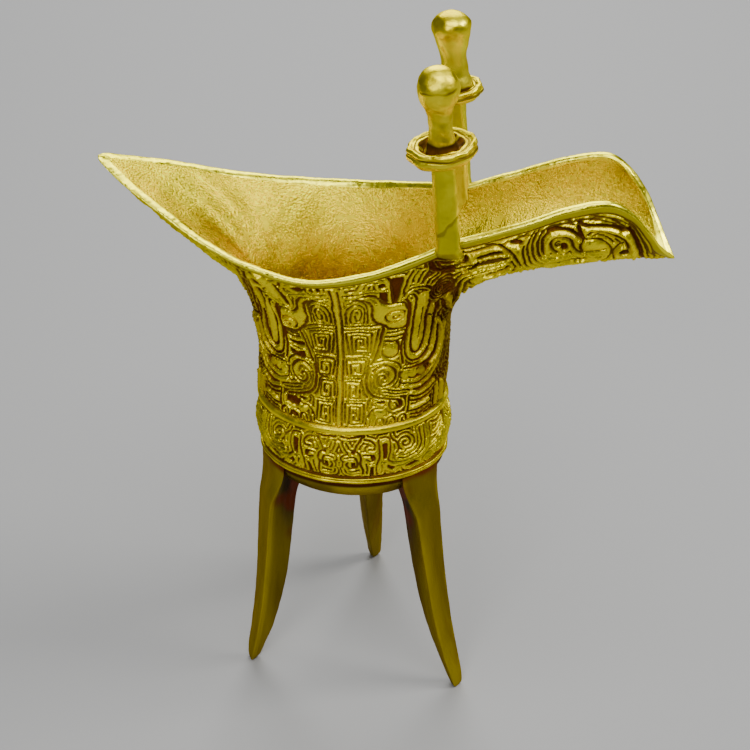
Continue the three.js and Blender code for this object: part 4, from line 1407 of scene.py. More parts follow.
@dataclass
class Vessel:
    """Bowl, spout and tail, from the domed floor to the lip."""
    slot: str = "gilt_body"
    node: str = "vessel_body"
    wall_start: float = 76.15
    band_start: float = 60.45
    wall_rows: int = 290
    lip_round: float = 1.0
    lip_inner: float = 1.3
    panels: tuple[WallPanel, ...] = (
        WallPanel("wall_spout_near", -0.40, 0.0, 310), WallPanel("wall_front", -0.745, -0.40, 330),
        WallPanel("wall_tail_near", -1.0, -0.745, 190), WallPanel("wall_spout_far", 0.0, 0.40, 190),
        WallPanel("wall_back", 0.40, 0.745, 200), WallPanel("wall_tail_far", 0.745, 1.0, 110),
    )

    def build(self) -> None:
        """Builds every piece of the vessel."""
        relief = Relief()
        for panel in self.panels:
            self.build_panel(panel, relief)
        self.build_band(relief)
        self.build_dome()
        self.build_lip()
        self.build_inside()

    def build_panel(self, panel: WallPanel, relief: Relief) -> None:
        """Builds one stretch of the wall, with its ornament raised and cut in the mesh."""
        step = (panel.end - panel.start) / panel.columns
        share = panel.start + step * np.arange(-1, panel.columns + 2)
        up = np.arange(-1, self.wall_rows + 2) / self.wall_rows
        sample = self.wall_sample(share, up, 0.0, self.wall_start, Relief.BAND)
        height, cavity_and_painted_light, stain = relief.wall(sample)
        points = raised(sample.points, height)
        middle = (slice(1, -1), slice(1, -1))
        piece = sheet(panel.name, points[middle], cavity_and_painted_light[middle], stain[middle], slopes(points)[middle])
        fit_out(piece, Finish.RELIEF, self.slot, self.node)

    def wall_sample(self, share: np.ndarray, up: np.ndarray, inset: float, start: float,
                    margin: float) -> WallSample:
        """The wall from a height of the barrel up to a margin below the edge.

        Args:
            share: shares round the mouth, one for each column.
            up: shares of the way up, one for each row.
            inset: how far inside the outer skin.
            start: the height at which the columns start.
            margin: how far below the edge they end.

        Returns:
            The sampled wall.
        """
        heading, foot, upright, bend, tip = FORM.wall_curves(share, inset)
        w = np.linspace(0, 1, 97)
        curve = bezier(w[:, None, None], foot, upright, bend, tip)
        steps = np.linalg.norm(np.diff(curve, axis=0), axis=2)
        flare = np.concatenate([np.zeros((1, len(share))), np.cumsum(steps, axis=0)])
        straight_run = FORM.throat_height - start
        points = np.empty((len(up), len(share), 3))
        below = np.empty((len(up), len(share)))
        for i in range(len(share)):
            total = straight_run + flare[-1, i]
            distance = up * (total - margin)
            bends = np.interp(distance - straight_run, flare[:, i], w)
            column = bezier(bends[:, None], foot[i], upright[i], bend[i], tip[i])
            low = distance < straight_run
            height = start + distance[low]
            column[low] = FORM.barrel(np.full(low.sum(), heading[i]), height, inset)
            points[:, i] = column
            below[:, i] = total - distance
        return WallSample(points, np.broadcast_to(heading, below.shape), below)

    def build_band(self, relief: Relief) -> None:
        """Builds the band with both rings and the ornamented frieze between them."""
        columns, rows = 720, 120
        heading = np.linspace(0, 2 * math.pi, columns + 1)
        height = np.linspace(self.band_start, FORM.upper_ring + 1.5, rows + 1)
        heading, height = np.meshgrid(heading, height)
        centred = (heading + math.pi) % (2 * math.pi) - math.pi
        out = np.stack([np.cos(heading) * FORM.half_width, np.sin(heading) * FORM.half_length,
                        np.zeros_like(heading)], -1)
        out /= np.linalg.norm(out, axis=-1, keepdims=True)
        tuck = smoothstep(height, FORM.upper_ring + 0.85, FORM.upper_ring + 1.3)
        base = FORM.barrel(heading, height, 0.0) + out * (FORM.proud(height) - 0.7 * tuck)[..., None]
        cut, stain = relief.band(base, centred)
        points = raised(base, cut * (1 - tuck))
        stain = np.maximum(stain, tuck)
        piece = sheet("frieze_band", points, -cut / 0.5, stain, weld=True)
        fit_out(piece, Finish.RELIEF, self.slot, self.node)

    def build_dome(self) -> None:
        """Builds the plain domed floor under the lower ring."""
        tilt = np.linspace(0.0, math.pi / 2, 60)
        heading = np.linspace(0, 2 * math.pi, 241)
        heading, tilt = np.meshgrid(heading, tilt)
        points = FORM.dome(heading, tilt, 0.0)
        collar = FORM.barrel(heading[0], np.full(heading.shape[1], self.band_start), 0.0)
        points = np.concatenate([points, collar[None]])
        points = raised(points, 0.07 * Waver(21, 7.0)(points))
        points[0] = points[0].mean(axis=0)
        under = smoothstep(points[..., 2], 58.6, 60.4)
        piece = sheet("domed_floor", points, under, 0.7 * under, weld=True)
        # The domed floor takes the darker leg gilt, as painted shade on the underside.
        fit_out(piece, Finish.LEG_IN_PAINTED_SHADE, self.slot, self.node)

    def build_lip(self) -> None:
        """Builds the plain band below the edge, the rounded edge and the inner margin as one moulding."""
        share = np.linspace(-1, 1, 1201)
        outer = self.edge_rows(share, 0.0)
        inner = self.edge_rows(share, FORM.wall)
        rim_out, rim_in = outer[-1], inner[-1]
        across = rim_in - rim_out
        bend = across * (self.lip_round / np.linalg.norm(across, axis=1, keepdims=True))
        rows = list(outer[:-2])
        for turn in np.linspace(0, math.pi / 2, 9):
            rows.append(rim_out + (outer[-2] - rim_out) * (1 - math.sin(turn)) + bend * (1 - math.cos(turn)))
        for w in (0.35, 0.65):
            rows.append(rim_out + bend + (across - 2 * bend) * w)
        for turn in np.linspace(math.pi / 2, 0, 9):
            rows.append(rim_in + (inner[-2] - rim_in) * (1 - math.sin(turn)) - bend * (1 - math.cos(turn)))
        rows += list(inner[-3::-1])
        points = np.stack(rows)
        dents = 0.05 * Waver(31, 6.0)(points) + 0.02 * Waver(32, 1.5)(points)
        points = raised(points, dents)
        # Painted light in the cavity values and the stain: the plain band below the edge is darkened as
        # painted shade and the rounded edge is lightened as painted highlight; the two lowest rows darken the
        # step into the border groove.
        cavity_and_painted_light = np.zeros(points.shape[:2])
        cavity_and_painted_light[0], cavity_and_painted_light[1] = 0.8, 0.5
        cavity_and_painted_light[2:6], cavity_and_painted_light[6:-5] = 0.45, -0.6
        piece = sheet("lip_moulding", points, cavity_and_painted_light, 0.5 * np.clip(cavity_and_painted_light, 0, 1), weld=True)
        fit_out(piece, Finish.LIP_WITH_PAINTED_HIGHLIGHT, self.slot, self.node)

    def edge_rows(self, share: np.ndarray, inset: float) -> np.ndarray:
        """Rows of the wall just below the edge, the last one being the edge itself.

        Args:
            share: shares round the mouth.
            inset: 0 for the outer skin, the wall's thickness for the inner one.

        Returns:
            An array of rows by columns by three.
        """
        _, foot, upright, bend, tip = FORM.wall_curves(share, inset)
        w = np.linspace(0.5, 1, 80)
        curve = bezier(w[:, None, None], foot, upright, bend, tip)
        steps = np.linalg.norm(np.diff(curve, axis=0), axis=2)
        below = np.concatenate([np.cumsum(steps[::-1], axis=0)[::-1], np.zeros((1, len(share)))])
        inner = [self.lip_inner, self.lip_inner * 0.97, 1.2, 1.14, 1.07]
        depths = np.array(([2.6, 2.35, 2.1, 1.7, 1.3] if inset == 0.0 else inner) + [self.lip_round, 0.0])
        rows = np.empty((len(depths), len(share), 3))
        for i in range(len(share)):
            at = np.interp(-depths, -below[:, i], w)
            rows[:, i] = bezier(at[:, None], foot[i], upright[i], bend[i], tip[i])
        if inset == 0.0:
            sink = np.array([0.6, 0.34, 0.08, 0, 0, 0, 0])
            rows = raised(rows, -sink[:, None])
        return rows

    def build_inside(self) -> None:
        """Builds the cast inner skin, from the lip's margin down to the middle of the floor."""
        columns, rows = 560, 150
        share = np.linspace(-1, 1, columns + 1)
        up = np.linspace(0, 1, rows)
        wall = self.wall_sample(share, up, FORM.wall, 60.0, self.lip_inner - 0.05)
        tilt = np.linspace(0, math.pi / 2, 18)[:-1]
        dome = FORM.dome(np.broadcast_to(wall.heading[0], (len(tilt), columns + 1)),
                         np.broadcast_to(tilt[:, None], (len(tilt), columns + 1)), FORM.wall)
        points = np.concatenate([dome, wall.points])
        lumps = 0.08 * Waver(41, 11.0)(points) + 0.02 * Waver(42, 3.4)(points)
        order = np.arange(len(points))
        fade = smoothstep(order, 0, 10) * fall(order, len(points) - 5, len(points) - 1)
        points = raised(points, lumps * fade[:, None])
        points[0] = points[0].mean(axis=0)
        plain = np.zeros(lumps.shape)
        piece = sheet("bowl_inside", points, plain, plain, weld=True, flip=True)
        fit_out(piece, Finish.INSIDE, self.slot, self.node)


# Legs

@dataclass(frozen=True)
class Leg:
    """A blade leg with a flat outer face and an inner ridge, spread into the bowl at its top."""
    name: str
    heading: float
    splay: float
    seed: int
    top: float = 60.4
    splay_top: float = 60.2
    rows: int = 150
    blunt: float = 0.55
    slot: str = "gilt_legs"
    stations: tuple[tuple[float, ...], ...] = (
        (0, 30.9, 1.6, 28.2), (4, 30.1, 2.1, 26.0), (10, 28.6, 2.6, 23.0), (20, 26.6, 3.1, 19.8),
        (30, 25.2, 3.5, 17.6), (45, 23.6, 4.1, 15.2), (58, 22.0, 4.7, 13.2), (64, 20.6, 4.9, 12.4),
    )

    def measure(self, height: np.ndarray) -> tuple[np.ndarray, ...]:
        """Outer radius, half-width and inner radius of the section at each height."""
        table = np.array(self.stations)
        found = []
        for column in (1, 2, 3):
            curve = flowing(table[:, [0, column]].tolist(), 0.3)
            found.append(np.interp(height, curve[:, 0], curve[:, 1]))
        face, half, ridge_radius = found
        out = self.splay * np.clip(1 - height / self.splay_top, 0, 1) ** 2
        spread = smoothstep(height, 46, 58)
        half = half + 0.9 * spread ** 2
        return face + out - 0.25 * spread, half, ridge_radius + out - 2.6 * spread ** 2

    def section(self, face: float, half: float, ridge_radius: float) -> np.ndarray:
        """The rounded three-sided section as points round it."""
        corners = np.array([(face, -half), (face, half), (ridge_radius, 0.0)])
        cuts = np.array([0.7, 0.7, 1.5]) * self.blunt * min(1.0, half / 2.6)
        return blunted(corners, cuts, 1.0, 8, 9, 0.16)

    def drawn_in(self, points: np.ndarray) -> np.ndarray:
        """The leg's points drawn in under the lower ring, and kept from standing up through the floor."""
        radius = np.hypot(points[..., 0], points[..., 1])
        turn = np.arctan2(points[..., 1], points[..., 0])
        oval = 1 / np.hypot(np.cos(turn) / FORM.half_length, np.sin(turn) / FORM.half_width)
        over = np.clip(radius - oval - 0.55, 0, None) * smoothstep(points[..., 2], 49, 59.8)
        moved = points.copy()
        moved[..., :2] *= (1 - over / radius)[..., None]
        middle = 0.7
        share = np.hypot(moved[..., 0] / (FORM.half_length - middle),
                         moved[..., 1] / (FORM.half_width - middle))
        tilt = np.arcsin(np.clip(share, 0, 1) ** (1 / FORM.dome_taper))
        rim = FORM.floor_height + FORM.dome_height
        skin = (rim - (FORM.dome_height - middle) * np.cos(tilt)
                + smoothstep(share, 1.01, 1.033) * (self.top + 0.3 - rim))
        moved[..., 2] = np.minimum(moved[..., 2], skin)
        return moved

    def build(self) -> None:
        """Builds the leg from its rounded foot up into the bowl."""
        height = np.concatenate([[0.0, 0.0, 0.1, 0.3, 0.6, 1.0], np.linspace(1.5, self.top, self.rows),
                                 self.top + np.linspace(0.2, 0.3, 6)])
        shrink = np.concatenate([[0.0, 0.5, 0.68, 0.82, 0.92, 0.98], np.ones(self.rows),
                                 [0.95, 0.8, 0.6, 0.4, 0.2, 0.0]])
        face, half, ridge_radius = self.measure(height)
        rows = []
        for i, level in enumerate(height):
            outline = self.section(face[i], half[i], ridge_radius[i])
            centre = outline[:-1].mean(axis=0)
            outline = centre + (outline - centre) * shrink[i]
            rows.append(np.column_stack([outline, np.full(len(outline), level)]))
        local = np.array(rows)
        points = self.drawn_in(Pose((0, 0, 0), self.heading).points(local))
        dents = 0.09 * Waver(self.seed, 11.0)(points * (1, 1, 0.5)) + 0.03 * Waver(self.seed + 1, 3.0)(points)
        fade = smoothstep(points[..., 2], 0.5, 4)
        points = raised(points, -dents * fade)
        points[:, -1] = points[:, 0]
        # inner gives the upper inner side of the blade red-brown patina and painted shade, for the dark
        # reflection on that side.
        inner = smoothstep(-local[..., 0], -24.5, -16) * smoothstep(local[..., 2], 30, 56)
        patches = 0.5 + 0.5 * Waver(self.seed + 2, 9.0)(points)
        stain = np.clip(inner * patches * 2.0 + 0.5 * smoothstep(local[..., 2], 58.5, 60.5), 0, 1)
        # sides: painted shade, the two side faces darker than the outer face.
        sides = smoothstep(face[:, None] - local[..., 0], 0.4, 1.6)
        number = np.arange(local.shape[1])
        worn = ((number % 15 < 8) & (number < 30)) * (0.55 + 0.35 * Waver(self.seed + 3, 7.0)(points))
        cavity_and_painted_light = 0.34 * sides + 0.4 * inner - worn
        piece = sheet(self.name, points, cavity_and_painted_light, stain, weld=True, flip=True)
        fit_out(piece, Finish.LEG_IN_PAINTED_SHADE, self.slot, self.name)


# Posts

@dataclass(frozen=True)
class Post:
    """A square post on the rim with its dished collar and its capped knob."""
    side: str
    sign: int
    collar_radius: float
    knob: str
    seed: int
    seam: bool = False
    place_x: float = 23.6
    place_y: float = 14.2
    seat: float = 124.0
    lean: float = -3.7
    shoulder: float = 19.8
    root: float = 6.0
    half_width: float = 2.62
    taper: float = 0.3
    collar_base: float = 19.7
    collar_squash: float = 1.0
    collar_lean: float = -3.7
    slim: float = 1.0
    twist: float = 0.0
    seam_height: float = 5.3
    finial_base: float = 23.0
    # Height of the painted dark reflection band round the front of the knob.
    crease_patina_and_painted_reflection: float = 14.0
    collar_edge: str = (".66,.25 .82,.8 .93,1.6 .99,2.1 1,2.5 .98,2.95 .935,3.15 .925,3.4 .95,3.8 .94,4.2"
                        " .89,4.5 .83,4.45 .77,4.2 .72,4.1 .66,4.05 .61,3.75 .56,3.3 .51,3.05 .46,2.95")
    shaft_slot: str = "gilt_posts"
    collar_slot: str = "gilt_collars"
    finial_slot: str = "gilt_finials"

    def pose(self) -> Pose:
        """Where the post stands."""
        return Pose((self.place_x, self.sign * self.place_y, self.seat), 0.0, self.lean)

    def build(self) -> None:
        """Builds shaft, collar and knob."""
        self.build_shaft()
        self.build_collar()
        self.build_finial()

    def build_shaft(self) -> None:
        """Builds the square shaft with its blunted corners and a foot that runs into the wall."""
        height = np.concatenate([np.linspace(-self.root, 3.0, 46),
                                 np.linspace(3.0, self.shoulder + 1.0, 60)[1:]])
        rise = (height + self.root) / (self.shoulder + self.root)
        plain = self.half_width - self.taper * rise
        half = (plain + 0.75 * fall(height, -4.5, 1.8) ** 1.5) * self.slim
        sunk = fall(height, -5.8, -0.3)
        deep = plain * (1 - 0.72 * sunk)
        shift = -self.sign * 1.95 * sunk
        blunt = 0.95 - 0.25 * rise
        corners = np.array([(1, 1), (-1, 1), (-1, -1), (1, -1)], float)
        rows = []
        for i, level in enumerate(height):
            cuts = np.full(4, min(blunt[i], deep[i] * 0.8))
            outline = blunted(corners * (half[i], deep[i]), cuts, 0.25, 6, 10) + (0.0, shift[i])
            rows.append(np.column_stack([outline, np.full(len(outline), level)]))
        local = np.array(rows)
        dents = 0.06 * Waver(self.seed, 5.0)(local) + 0.025 * Waver(self.seed + 1, 1.6)(local)
        stain = 0.35 * smoothstep(Waver(self.seed + 2, 4.0)(local), 0.5, 1.3)
        cavity_and_painted_light = np.where(local[..., 0] < -half[:, None] * 0.72, -0.7, 0.0)
        if self.seam:
            line = local[..., 2] - self.seam_height - local[..., 0] * 0.85
            line = line + 0.25 * Waver(self.seed + 9, 2.4)(local)
            cut = near(line, 0.3, 0.85) * (local[..., 1] * self.sign > 1.0)
            dents = dents - 0.13 * cut
            cavity_and_painted_light, stain = np.maximum(cavity_and_painted_light, 0.42 * cut), np.maximum(stain, 0.3 * cut)
        local = raised(local, dents)
        turn = math.radians(self.twist) * smoothstep(local[..., 2], -3, 5)
        x, y = local[..., 0].copy(), local[..., 1].copy()
        local[..., 0] = x * np.cos(turn) - y * np.sin(turn)
        local[..., 1] = x * np.sin(turn) + y * np.cos(turn)
        piece = sheet(f"post_shaft_{self.side}", self.pose().points(local), cavity_and_painted_light, stain, weld=True)
        fit_out(piece, Finish.PLAIN, self.shaft_slot, f"post_shaft_{self.side}")

    def build_collar(self) -> None:
        """Builds the dished collar with its double scalloped edge and pitted dish."""
        edge, base = self.collar_radius, self.collar_base
        profile = np.array(path(self.collar_edge)) * (edge, 1.0)
        bore, rest = path("1.9,.5 2.2,.15 3.2,0"), path("3.1,2.85 2.7,3 2.2,3.6")
        curve = flowing([*bore, *profile.tolist(), *rest], 0.14)
        curve[:, 1] = base + 4.5 - (4.5 - curve[:, 1]) * self.collar_squash
        curve = np.vstack([[0.0, curve[0, 1]], curve, [0.0, curve[-1, 1]]])
        waver, fine, coarse = Waver(self.seed + 3, 3.4), Waver(self.seed + 4, 1.1), Waver(self.seed + 5, 5.5)
        slope = math.tan(math.radians(self.collar_lean - self.lean))

        def reshape(points: np.ndarray) -> np.ndarray:
            """Scallops the edge, pits the dish and tips the collar sideways on its post."""
            radius = np.hypot(points[:, 0], points[:, 1])
            turn = np.arctan2(points[:, 1], points[:, 0])
            ring = smoothstep(radius, edge * 0.45, edge * 0.9)
            lobes = 0.1 * np.cos(9 * turn + 1.2 * np.sin(2 * turn)) + 0.13 * waver(points)
            moved = points.copy()
            flare = 0.25 * smoothstep(points[:, 2], base + 2.2, base + 3.6)
            share = 1 + ring * (lobes + flare) / np.maximum(radius, 1)
            moved[:, 0] *= share
            moved[:, 1] *= share
            upper = smoothstep(points[:, 2], base + 2.4, base + 3.6)
            moved[:, 2] += upper * (0.16 * coarse(points) + 0.08 * waver(points[:, [1, 0, 2]])
                                    + 0.04 * fine(points)) * smoothstep(radius, 2.0, 3.2)
            moved[:, 2] -= moved[:, 0] * slope
            return moved

        piece = turned(f"post_collar_{self.side}", curve, self.pose(), reshape, 132)
        self.patinate(piece, edge)
        fit_out(piece, Finish.KNOB_WITH_PAINTED_HIGHLIGHT, self.collar_slot, f"post_collar_{self.side}")

    def patinate(self, piece: bpy.types.Object, edge: float) -> None:
        """Stains the dish of a collar and the creases of its edge."""
        local = self.back_home(piece)
        radius = np.hypot(local[:, 0], local[:, 1])
        dish = fall(radius, edge * 0.6, edge * 0.74) * smoothstep(local[:, 2], 21.5, 22.2)
        crease_patina_and_painted_reflection = near(radius - edge * 0.77, 0.1, 0.35) * smoothstep(local[:, 2], 22.4, 23.2)
        lower = near(local[:, 2] - self.collar_base - 3.25, 0.12, 0.4)
        lower = lower * smoothstep(radius, edge * 0.9, edge * 0.93)
        patches = np.clip(0.95 + 0.45 * Waver(self.seed + 6, 2.2)(local), 0, 1.3)
        self.mark(piece, dish * patches + 0.6 * crease_patina_and_painted_reflection + 0.6 * lower, 0.45 * dish * patches + 0.3 * crease_patina_and_painted_reflection)

    def back_home(self, piece: bpy.types.Object) -> np.ndarray:
        """The places of a piece's vertices in the post's own frame."""
        back = self.pose().matrix().inverted()
        return np.array([back @ vert.co for vert in piece.data.vertices])

    @staticmethod
    def mark(piece: bpy.types.Object, cavity_and_painted_light: np.ndarray, stain: np.ndarray) -> None:
        """Notes the patina on a turned piece, and on a knob its painted reflection band and darker lower
        neck, kept between none and full.
        """
        note(piece.data, np.clip(cavity_and_painted_light, 0, 1), np.clip(stain, 0, 1))

    def build_finial(self) -> None:
        """Builds the waisted neck and its knob."""
        curve = flowing(path(self.knob), 0.18)
        curve[:, 1] += self.finial_base
        curve[:, 0] = np.maximum(curve[:, 0], 0.0)
        curve = np.vstack([[0.0, curve[0, 1]], curve])
        curve[-1, 0] = 0.0
        waver, fine = Waver(self.seed + 7, 6.5), Waver(self.seed + 8, 2.2)

        def reshape(points: np.ndarray) -> np.ndarray:
            """Dents the turned shape a little, as filed by hand."""
            radius = np.hypot(points[:, 0], points[:, 1])[:, None]
            across = np.column_stack([points[:, :2], np.zeros(len(points))]) / np.maximum(radius, 0.6)
            dents = (0.13 * waver(points) + 0.05 * fine(points))[:, None]
            return points + across * dents * np.minimum(radius, 1.0)

        piece = turned(f"post_finial_{self.side}", curve, self.pose(), reshape, 96)
        local = self.back_home(piece)
        level = local[:, 2] - self.finial_base
        foot = fall(level, 0.3, 2.2) * np.clip(0.9 + 0.5 * waver(local * 1.6), 0, 1)
        # A painted reflection: a dark band round the front of the knob, below its bright top. The knob also
        # gets darker towards the bottom of its neck.
        crease_patina_and_painted_reflection = near(level - self.crease_patina_and_painted_reflection - 0.2 * fine(local), 0.0, 0.7)
        crease_patina_and_painted_reflection = crease_patina_and_painted_reflection * smoothstep(local[:, 1] * self.sign, 0.0, 2.5)
        neck = 0.33 * fall(level, 8.0, 13.0)
        self.mark(piece, neck + foot + (0.36 + 0.14 * waver(local)) * crease_patina_and_painted_reflection, 0.4 * foot)
        fit_out(piece, Finish.KNOB_WITH_PAINTED_HIGHLIGHT, self.finial_slot, f"post_finial_{self.side}")


NEAR_KNOB = ("3.9,-.9 3.4,0 3.05,1 2.82,2.2 2.62,3.6 2.52,5.2 2.55,6.8 2.72,8 3.05,9.1 3.52,10.1 4,11.2"
             " 4.38,12.3 4.55,13.3 4.5,14.3 4.2,15.3 3.62,16.3 2.8,17.2 1.8,17.8 .9,18.05 0,18.1")
FAR_KNOB = ("4.4,-.4 4.1,.9 3.7,2.2 3.15,3.8 2.95,5.4 2.9,7 3,8.8 3.3,10.6 3.75,12.3 4.2,13.6 4.42,14.7"
            " 4.3,15.7 3.75,16.6 2.75,17.4 1.5,17.9 0,18.1")


# The handle

@dataclass(frozen=True)
class Handle:
    """The strap behind the rear leg's side, with an ox head on its shoulder."""
    heading: float = 91.0
    width: float = 8.0
    thickness: float = 2.8
    bead: float = 0.9
    chevron_pitch: float = 2.1
    chevron_level: float = -0.28
    gutter_level: float = -0.4
    spine: str = "16.7,99.7 21.6,101 28.4,97.6 31.6,90 30.4,83 26.6,73.5 21.2,69 16.7,68.1"
    shoulder: tuple[float, float, float] = (23.8, 0.0, 102.4)
    tilt: float = 38.0
    head_length: float = 13.0
    head_width: float = 8.4
    skin_cell: float = 0.22
    slot: str = "gilt_handle"

    def pose(self) -> Pose:
        """The handle's own frame, with +X pointing away from the bowl's axis."""
        return Pose((0, 0, 0), self.heading)

    def build(self) -> None:
        """Builds strap and head."""
        self.build_strap()
        self.build_head()

    def build_strap(self) -> None:
        """Builds the strap with a bead along each edge and a ridged middle."""
        spine = flowing(path(self.spine), 0.25)
        along = np.gradient(spine, axis=0)
        along /= np.linalg.norm(along, axis=1, keepdims=True)
        out = np.column_stack([along[:, 1], -along[:, 0]])
        out *= np.sign(out[len(out) // 2, 0])
        run = np.concatenate([[0], np.cumsum(np.linalg.norm(np.diff(spine, axis=0), axis=1))])
        half, thick = self.width / 2, self.thickness / 2
        angle = np.linspace(0, 2 * math.pi, 97)
        side = np.sign(np.cos(angle)) * np.abs(np.cos(angle)) ** 0.35 * half
        lift = np.sign(np.sin(angle)) * np.abs(np.sin(angle)) ** 0.35 * thick
        outer = smoothstep(lift, 0.4, thick * 0.9)
        bead = near(np.abs(side) - half + self.bead * 0.7, 0.2, self.bead * 0.75)
        field = near(side, half - self.bead * 2.4, half - self.bead * 1.6)
        chevron = np.cos((run[:, None] + np.abs(side)[None, :] * 0.9) * 2 * math.pi / self.chevron_pitch)
        cut = self.chevron_level * smoothstep(-chevron, -0.1, 0.8) * field * outer
        gutter = self.gutter_level * near(np.abs(side) - half + self.bead * 1.9, 0.1, 0.35) * outer
        relief = cut + gutter + 0.1 * bead * outer
        rise = lift[None, :] * np.ones((len(run), 1)) + relief
        points = np.empty((len(run), len(angle), 3))
        points[..., 0] = spine[:, 0, None] + out[:, 0, None] * rise
        points[..., 2] = spine[:, 1, None] + out[:, 1, None] * rise
        points[..., 1] = side[None, :]
        piece = sheet("handle_strap", self.pose().points(points), -relief / 0.45,
                      0.5 * smoothstep(-relief, 0.1, 0.35), weld=True)
        with net_of(piece.data) as net:
            bmesh.ops.holes_fill(net, edges=net.edges, sides=0)
            bmesh.ops.recalc_face_normals(net, faces=net.faces)
        fit_out(piece, Finish.RELIEF, self.slot, "handle_strap")

    def build_head(self) -> None:
        """Builds the ox head from overlapping balls that are melted into one skin."""
        tilt = math.radians(self.tilt)
        ahead = Vector((math.cos(tilt), 0, -math.sin(tilt)))
        above = Vector((math.sin(tilt), 0, math.cos(tilt)))

        def at(length: float, side: float, lift: float) -> Vector:
            """A place on the head by its length, its side and its lift."""
            place = Vector(self.shoulder) + ahead * length * self.head_length + above * lift
            return Vector((place.x, side * self.head_width, place.z))

        net = bmesh.new()

        def ball(size: tuple[float, float, float], place: Vector, yaw: float = 0.0) -> None:
            """Adds a stretched ball to the head."""
            matrix = (Matrix.Translation(place) @ Matrix.Rotation(tilt, 4, "Y")
                      @ Matrix.Rotation(yaw, 4, "Z") @ Matrix.Diagonal((*size, 1.0)))
            bmesh.ops.create_uvsphere(net, u_segments=32, v_segments=18, radius=1.0, matrix=matrix)

        length, width = self.head_length, self.head_width
        ball((length * 0.34, width * 0.46, 2.8), at(-0.1, 0, 0))
        ball((length * 0.4, width * 0.33, 2.4), at(0.2, 0, 0))
        ball((length * 0.13, width * 0.37, 2.2), at(0.47, 0, 0))
        ball((length * 0.42, width * 0.09, 0.9), at(0.12, 0, 2.3))
        for side in (-1, 1):
            ball((1.25, 1.15, 1.2), at(-0.04, side * 0.33, 1.9))
            ball((2.0, 0.45, 0.55), at(-0.1, side * 0.3, 2.85), side * 0.35)
            ball((0.95, 2.3, 0.7), at(-0.24, side * 0.6, 0.4), side * 0.4)
            ball((0.6, 0.5, 0.5), at(0.55, side * 0.2, 1.3))
            for t in np.arange(9) / 8:
                out, lift = 0.26 + 0.42 * t - 0.12 * t * t, 2.0 + 0.9 * t + 2.2 * t * t
                ball((1.15 - 0.75 * t,) * 3, at(-0.27 + 0.03 * t, side * out, lift))
        bmesh.ops.transform(net, matrix=self.pose().matrix(), verts=net.verts)
        piece = piece_of("handle_ox_head", net)
        self.melt(piece, self.skin_cell * MM)
        fit_out(piece, Finish.RELIEF, self.slot, "handle_ox_head")

    def melt(self, piece: bpy.types.Object, size: float) -> None:
        """Joins the overlapping parts of a piece into one skin and softens its creases.

        Args:
            piece: the object, whose mesh is changed.
            size: the cell size of the new skin, in metres.
        """
        modifier = piece.modifiers.new("melt", "REMESH")
        modifier.mode = "VOXEL"
        modifier.voxel_size = size
        graph = bpy.context.evaluated_depsgraph_get()
        joined = bpy.data.meshes.new_from_object(piece.evaluated_get(graph))
        piece.modifiers.clear()
        with net_of(joined) as net:
            for _ in range(4):
                bmesh.ops.smooth_vert(net, verts=net.verts, factor=0.5, use_axis_x=True, use_axis_y=True,
                                      use_axis_z=True)
        joined.polygons.foreach_set("use_smooth", [True] * len(joined.polygons))
        piece.data = joined


# The studio

@dataclass(frozen=True)
class Lamp:
    """A soft square lamp aimed at the cup."""
    name: str
    place: tuple[float, float, float]
    size: float
    power: float
    colour: tuple[float, float, float] = (1.0, 1.0, 1.0)


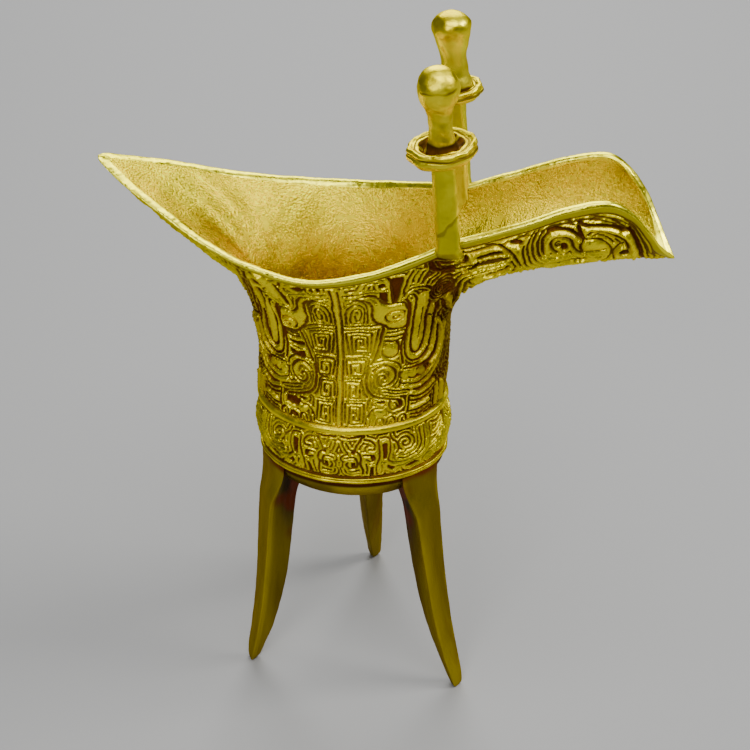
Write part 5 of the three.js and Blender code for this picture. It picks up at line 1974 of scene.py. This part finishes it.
@dataclass(frozen=True)
class Studio:
    """Camera, lights and floor."""
    target: tuple[float, float, float] = (-3.228, -4.372, 79.514)
    place: tuple[float, float, float] = (48.855, -371.366, 326.577)
    turn: float = 8.077
    roll: float = -0.8897
    lens: float = 91.2
    lamps: tuple[Lamp, ...] = (
        Lamp("window", (-0.12, 0.85, 0.66), 0.7, 8.5),
        Lamp("side", (0.8, 0.12, 0.82), 0.42, 7.5, (1.0, 0.99, 0.95)),
        Lamp("front", (-0.25, -0.9, 0.62), 0.4, 3.0, (1.0, 0.98, 0.94)),
        Lamp("top", (0.08, -0.26, 0.95), 0.7, 7.0),
    )
    surround: tuple[float, float, float, float] = (0.5, 0.52, 0.53, 1.0)
    surround_strength: float = 0.22

    def build(self) -> None:
        """Sets up everything round the cup."""
        self.build_camera()
        self.build_floor()
        self.build_lights()

    def build_camera(self) -> None:
        """Puts the camera where the photograph was taken from."""
        data = bpy.data.cameras.new("camera")
        data.sensor_width = 36.0
        data.lens = self.lens
        camera = bpy.data.objects.new("camera", data)
        bpy.context.scene.collection.objects.link(camera)
        back = (Vector(self.place) - Vector(self.target)).normalized()
        turn, roll = math.radians(self.turn), math.radians(self.roll)
        right = Vector((math.cos(turn), math.sin(turn), 0.0))
        up = back.cross(right)
        axis_x = right * math.cos(roll) + up * math.sin(roll)
        axis_y = up * math.cos(roll) - right * math.sin(roll)
        matrix = Matrix((axis_x, axis_y, back)).transposed().to_4x4()
        matrix.translation = Vector(self.place) * MM
        camera.matrix_world = matrix
        bpy.context.scene.camera = camera

    def build_floor(self) -> None:
        """Lays a plain pale floor."""
        mesh = bpy.data.meshes.new("floor")
        with net_of(mesh) as net:
            bmesh.ops.create_grid(net, x_segments=1, y_segments=1, size=1.5)
        floor = show("floor", mesh)
        material = bpy.data.materials.new("pale_floor")
        material.use_nodes = True
        shader = material.node_tree.nodes["Principled BSDF"]
        shader.inputs["Base Color"].default_value = (0.32, 0.32, 0.32, 1.0)
        shader.inputs["Roughness"].default_value = 0.6
        mesh.materials.append(material)

    def build_lights(self) -> None:
        """Hangs the soft lamps and sets a pale surround."""
        for lamp in self.lamps:
            data = bpy.data.lights.new(lamp.name, "AREA")
            data.size = lamp.size
            data.energy = lamp.power
            data.color = lamp.colour
            light = bpy.data.objects.new(lamp.name, data)
            light.location = lamp.place
            aim = Vector((0, 0, 0.1)) - Vector(lamp.place)
            light.rotation_euler = aim.to_track_quat("-Z", "Y").to_euler()
            bpy.context.scene.collection.objects.link(light)
        world = bpy.data.worlds.new("surround")
        world.use_nodes = True
        background = world.node_tree.nodes["Background"]
        background.inputs["Color"].default_value = self.surround
        background.inputs["Strength"].default_value = self.surround_strength
        bpy.context.scene.world = world


def main() -> None:
    """Builds the cup and its studio, and notes the sizes."""
    logging.basicConfig(level=logging.INFO, format="%(name)s: %(message)s")
    Studio().build()
    Vessel().build()
    for leg in (Leg("leg_front_left", 207.8, -1.6, 51), Leg("leg_front_right", -32.3, 1.8, 54),
                Leg("leg_rear", 90.0, 1.0, 57)):
        leg.build()
    Post("near", -1, 7.4, NEAR_KNOB, 61, seam=True, collar_lean=-7.0, twist=15.0).build()
    Post("far", 1, 6.0, FAR_KNOB, 81, collar_squash=0.75, slim=0.86).build()
    Handle().build()


if __name__ == "__main__":
    main()
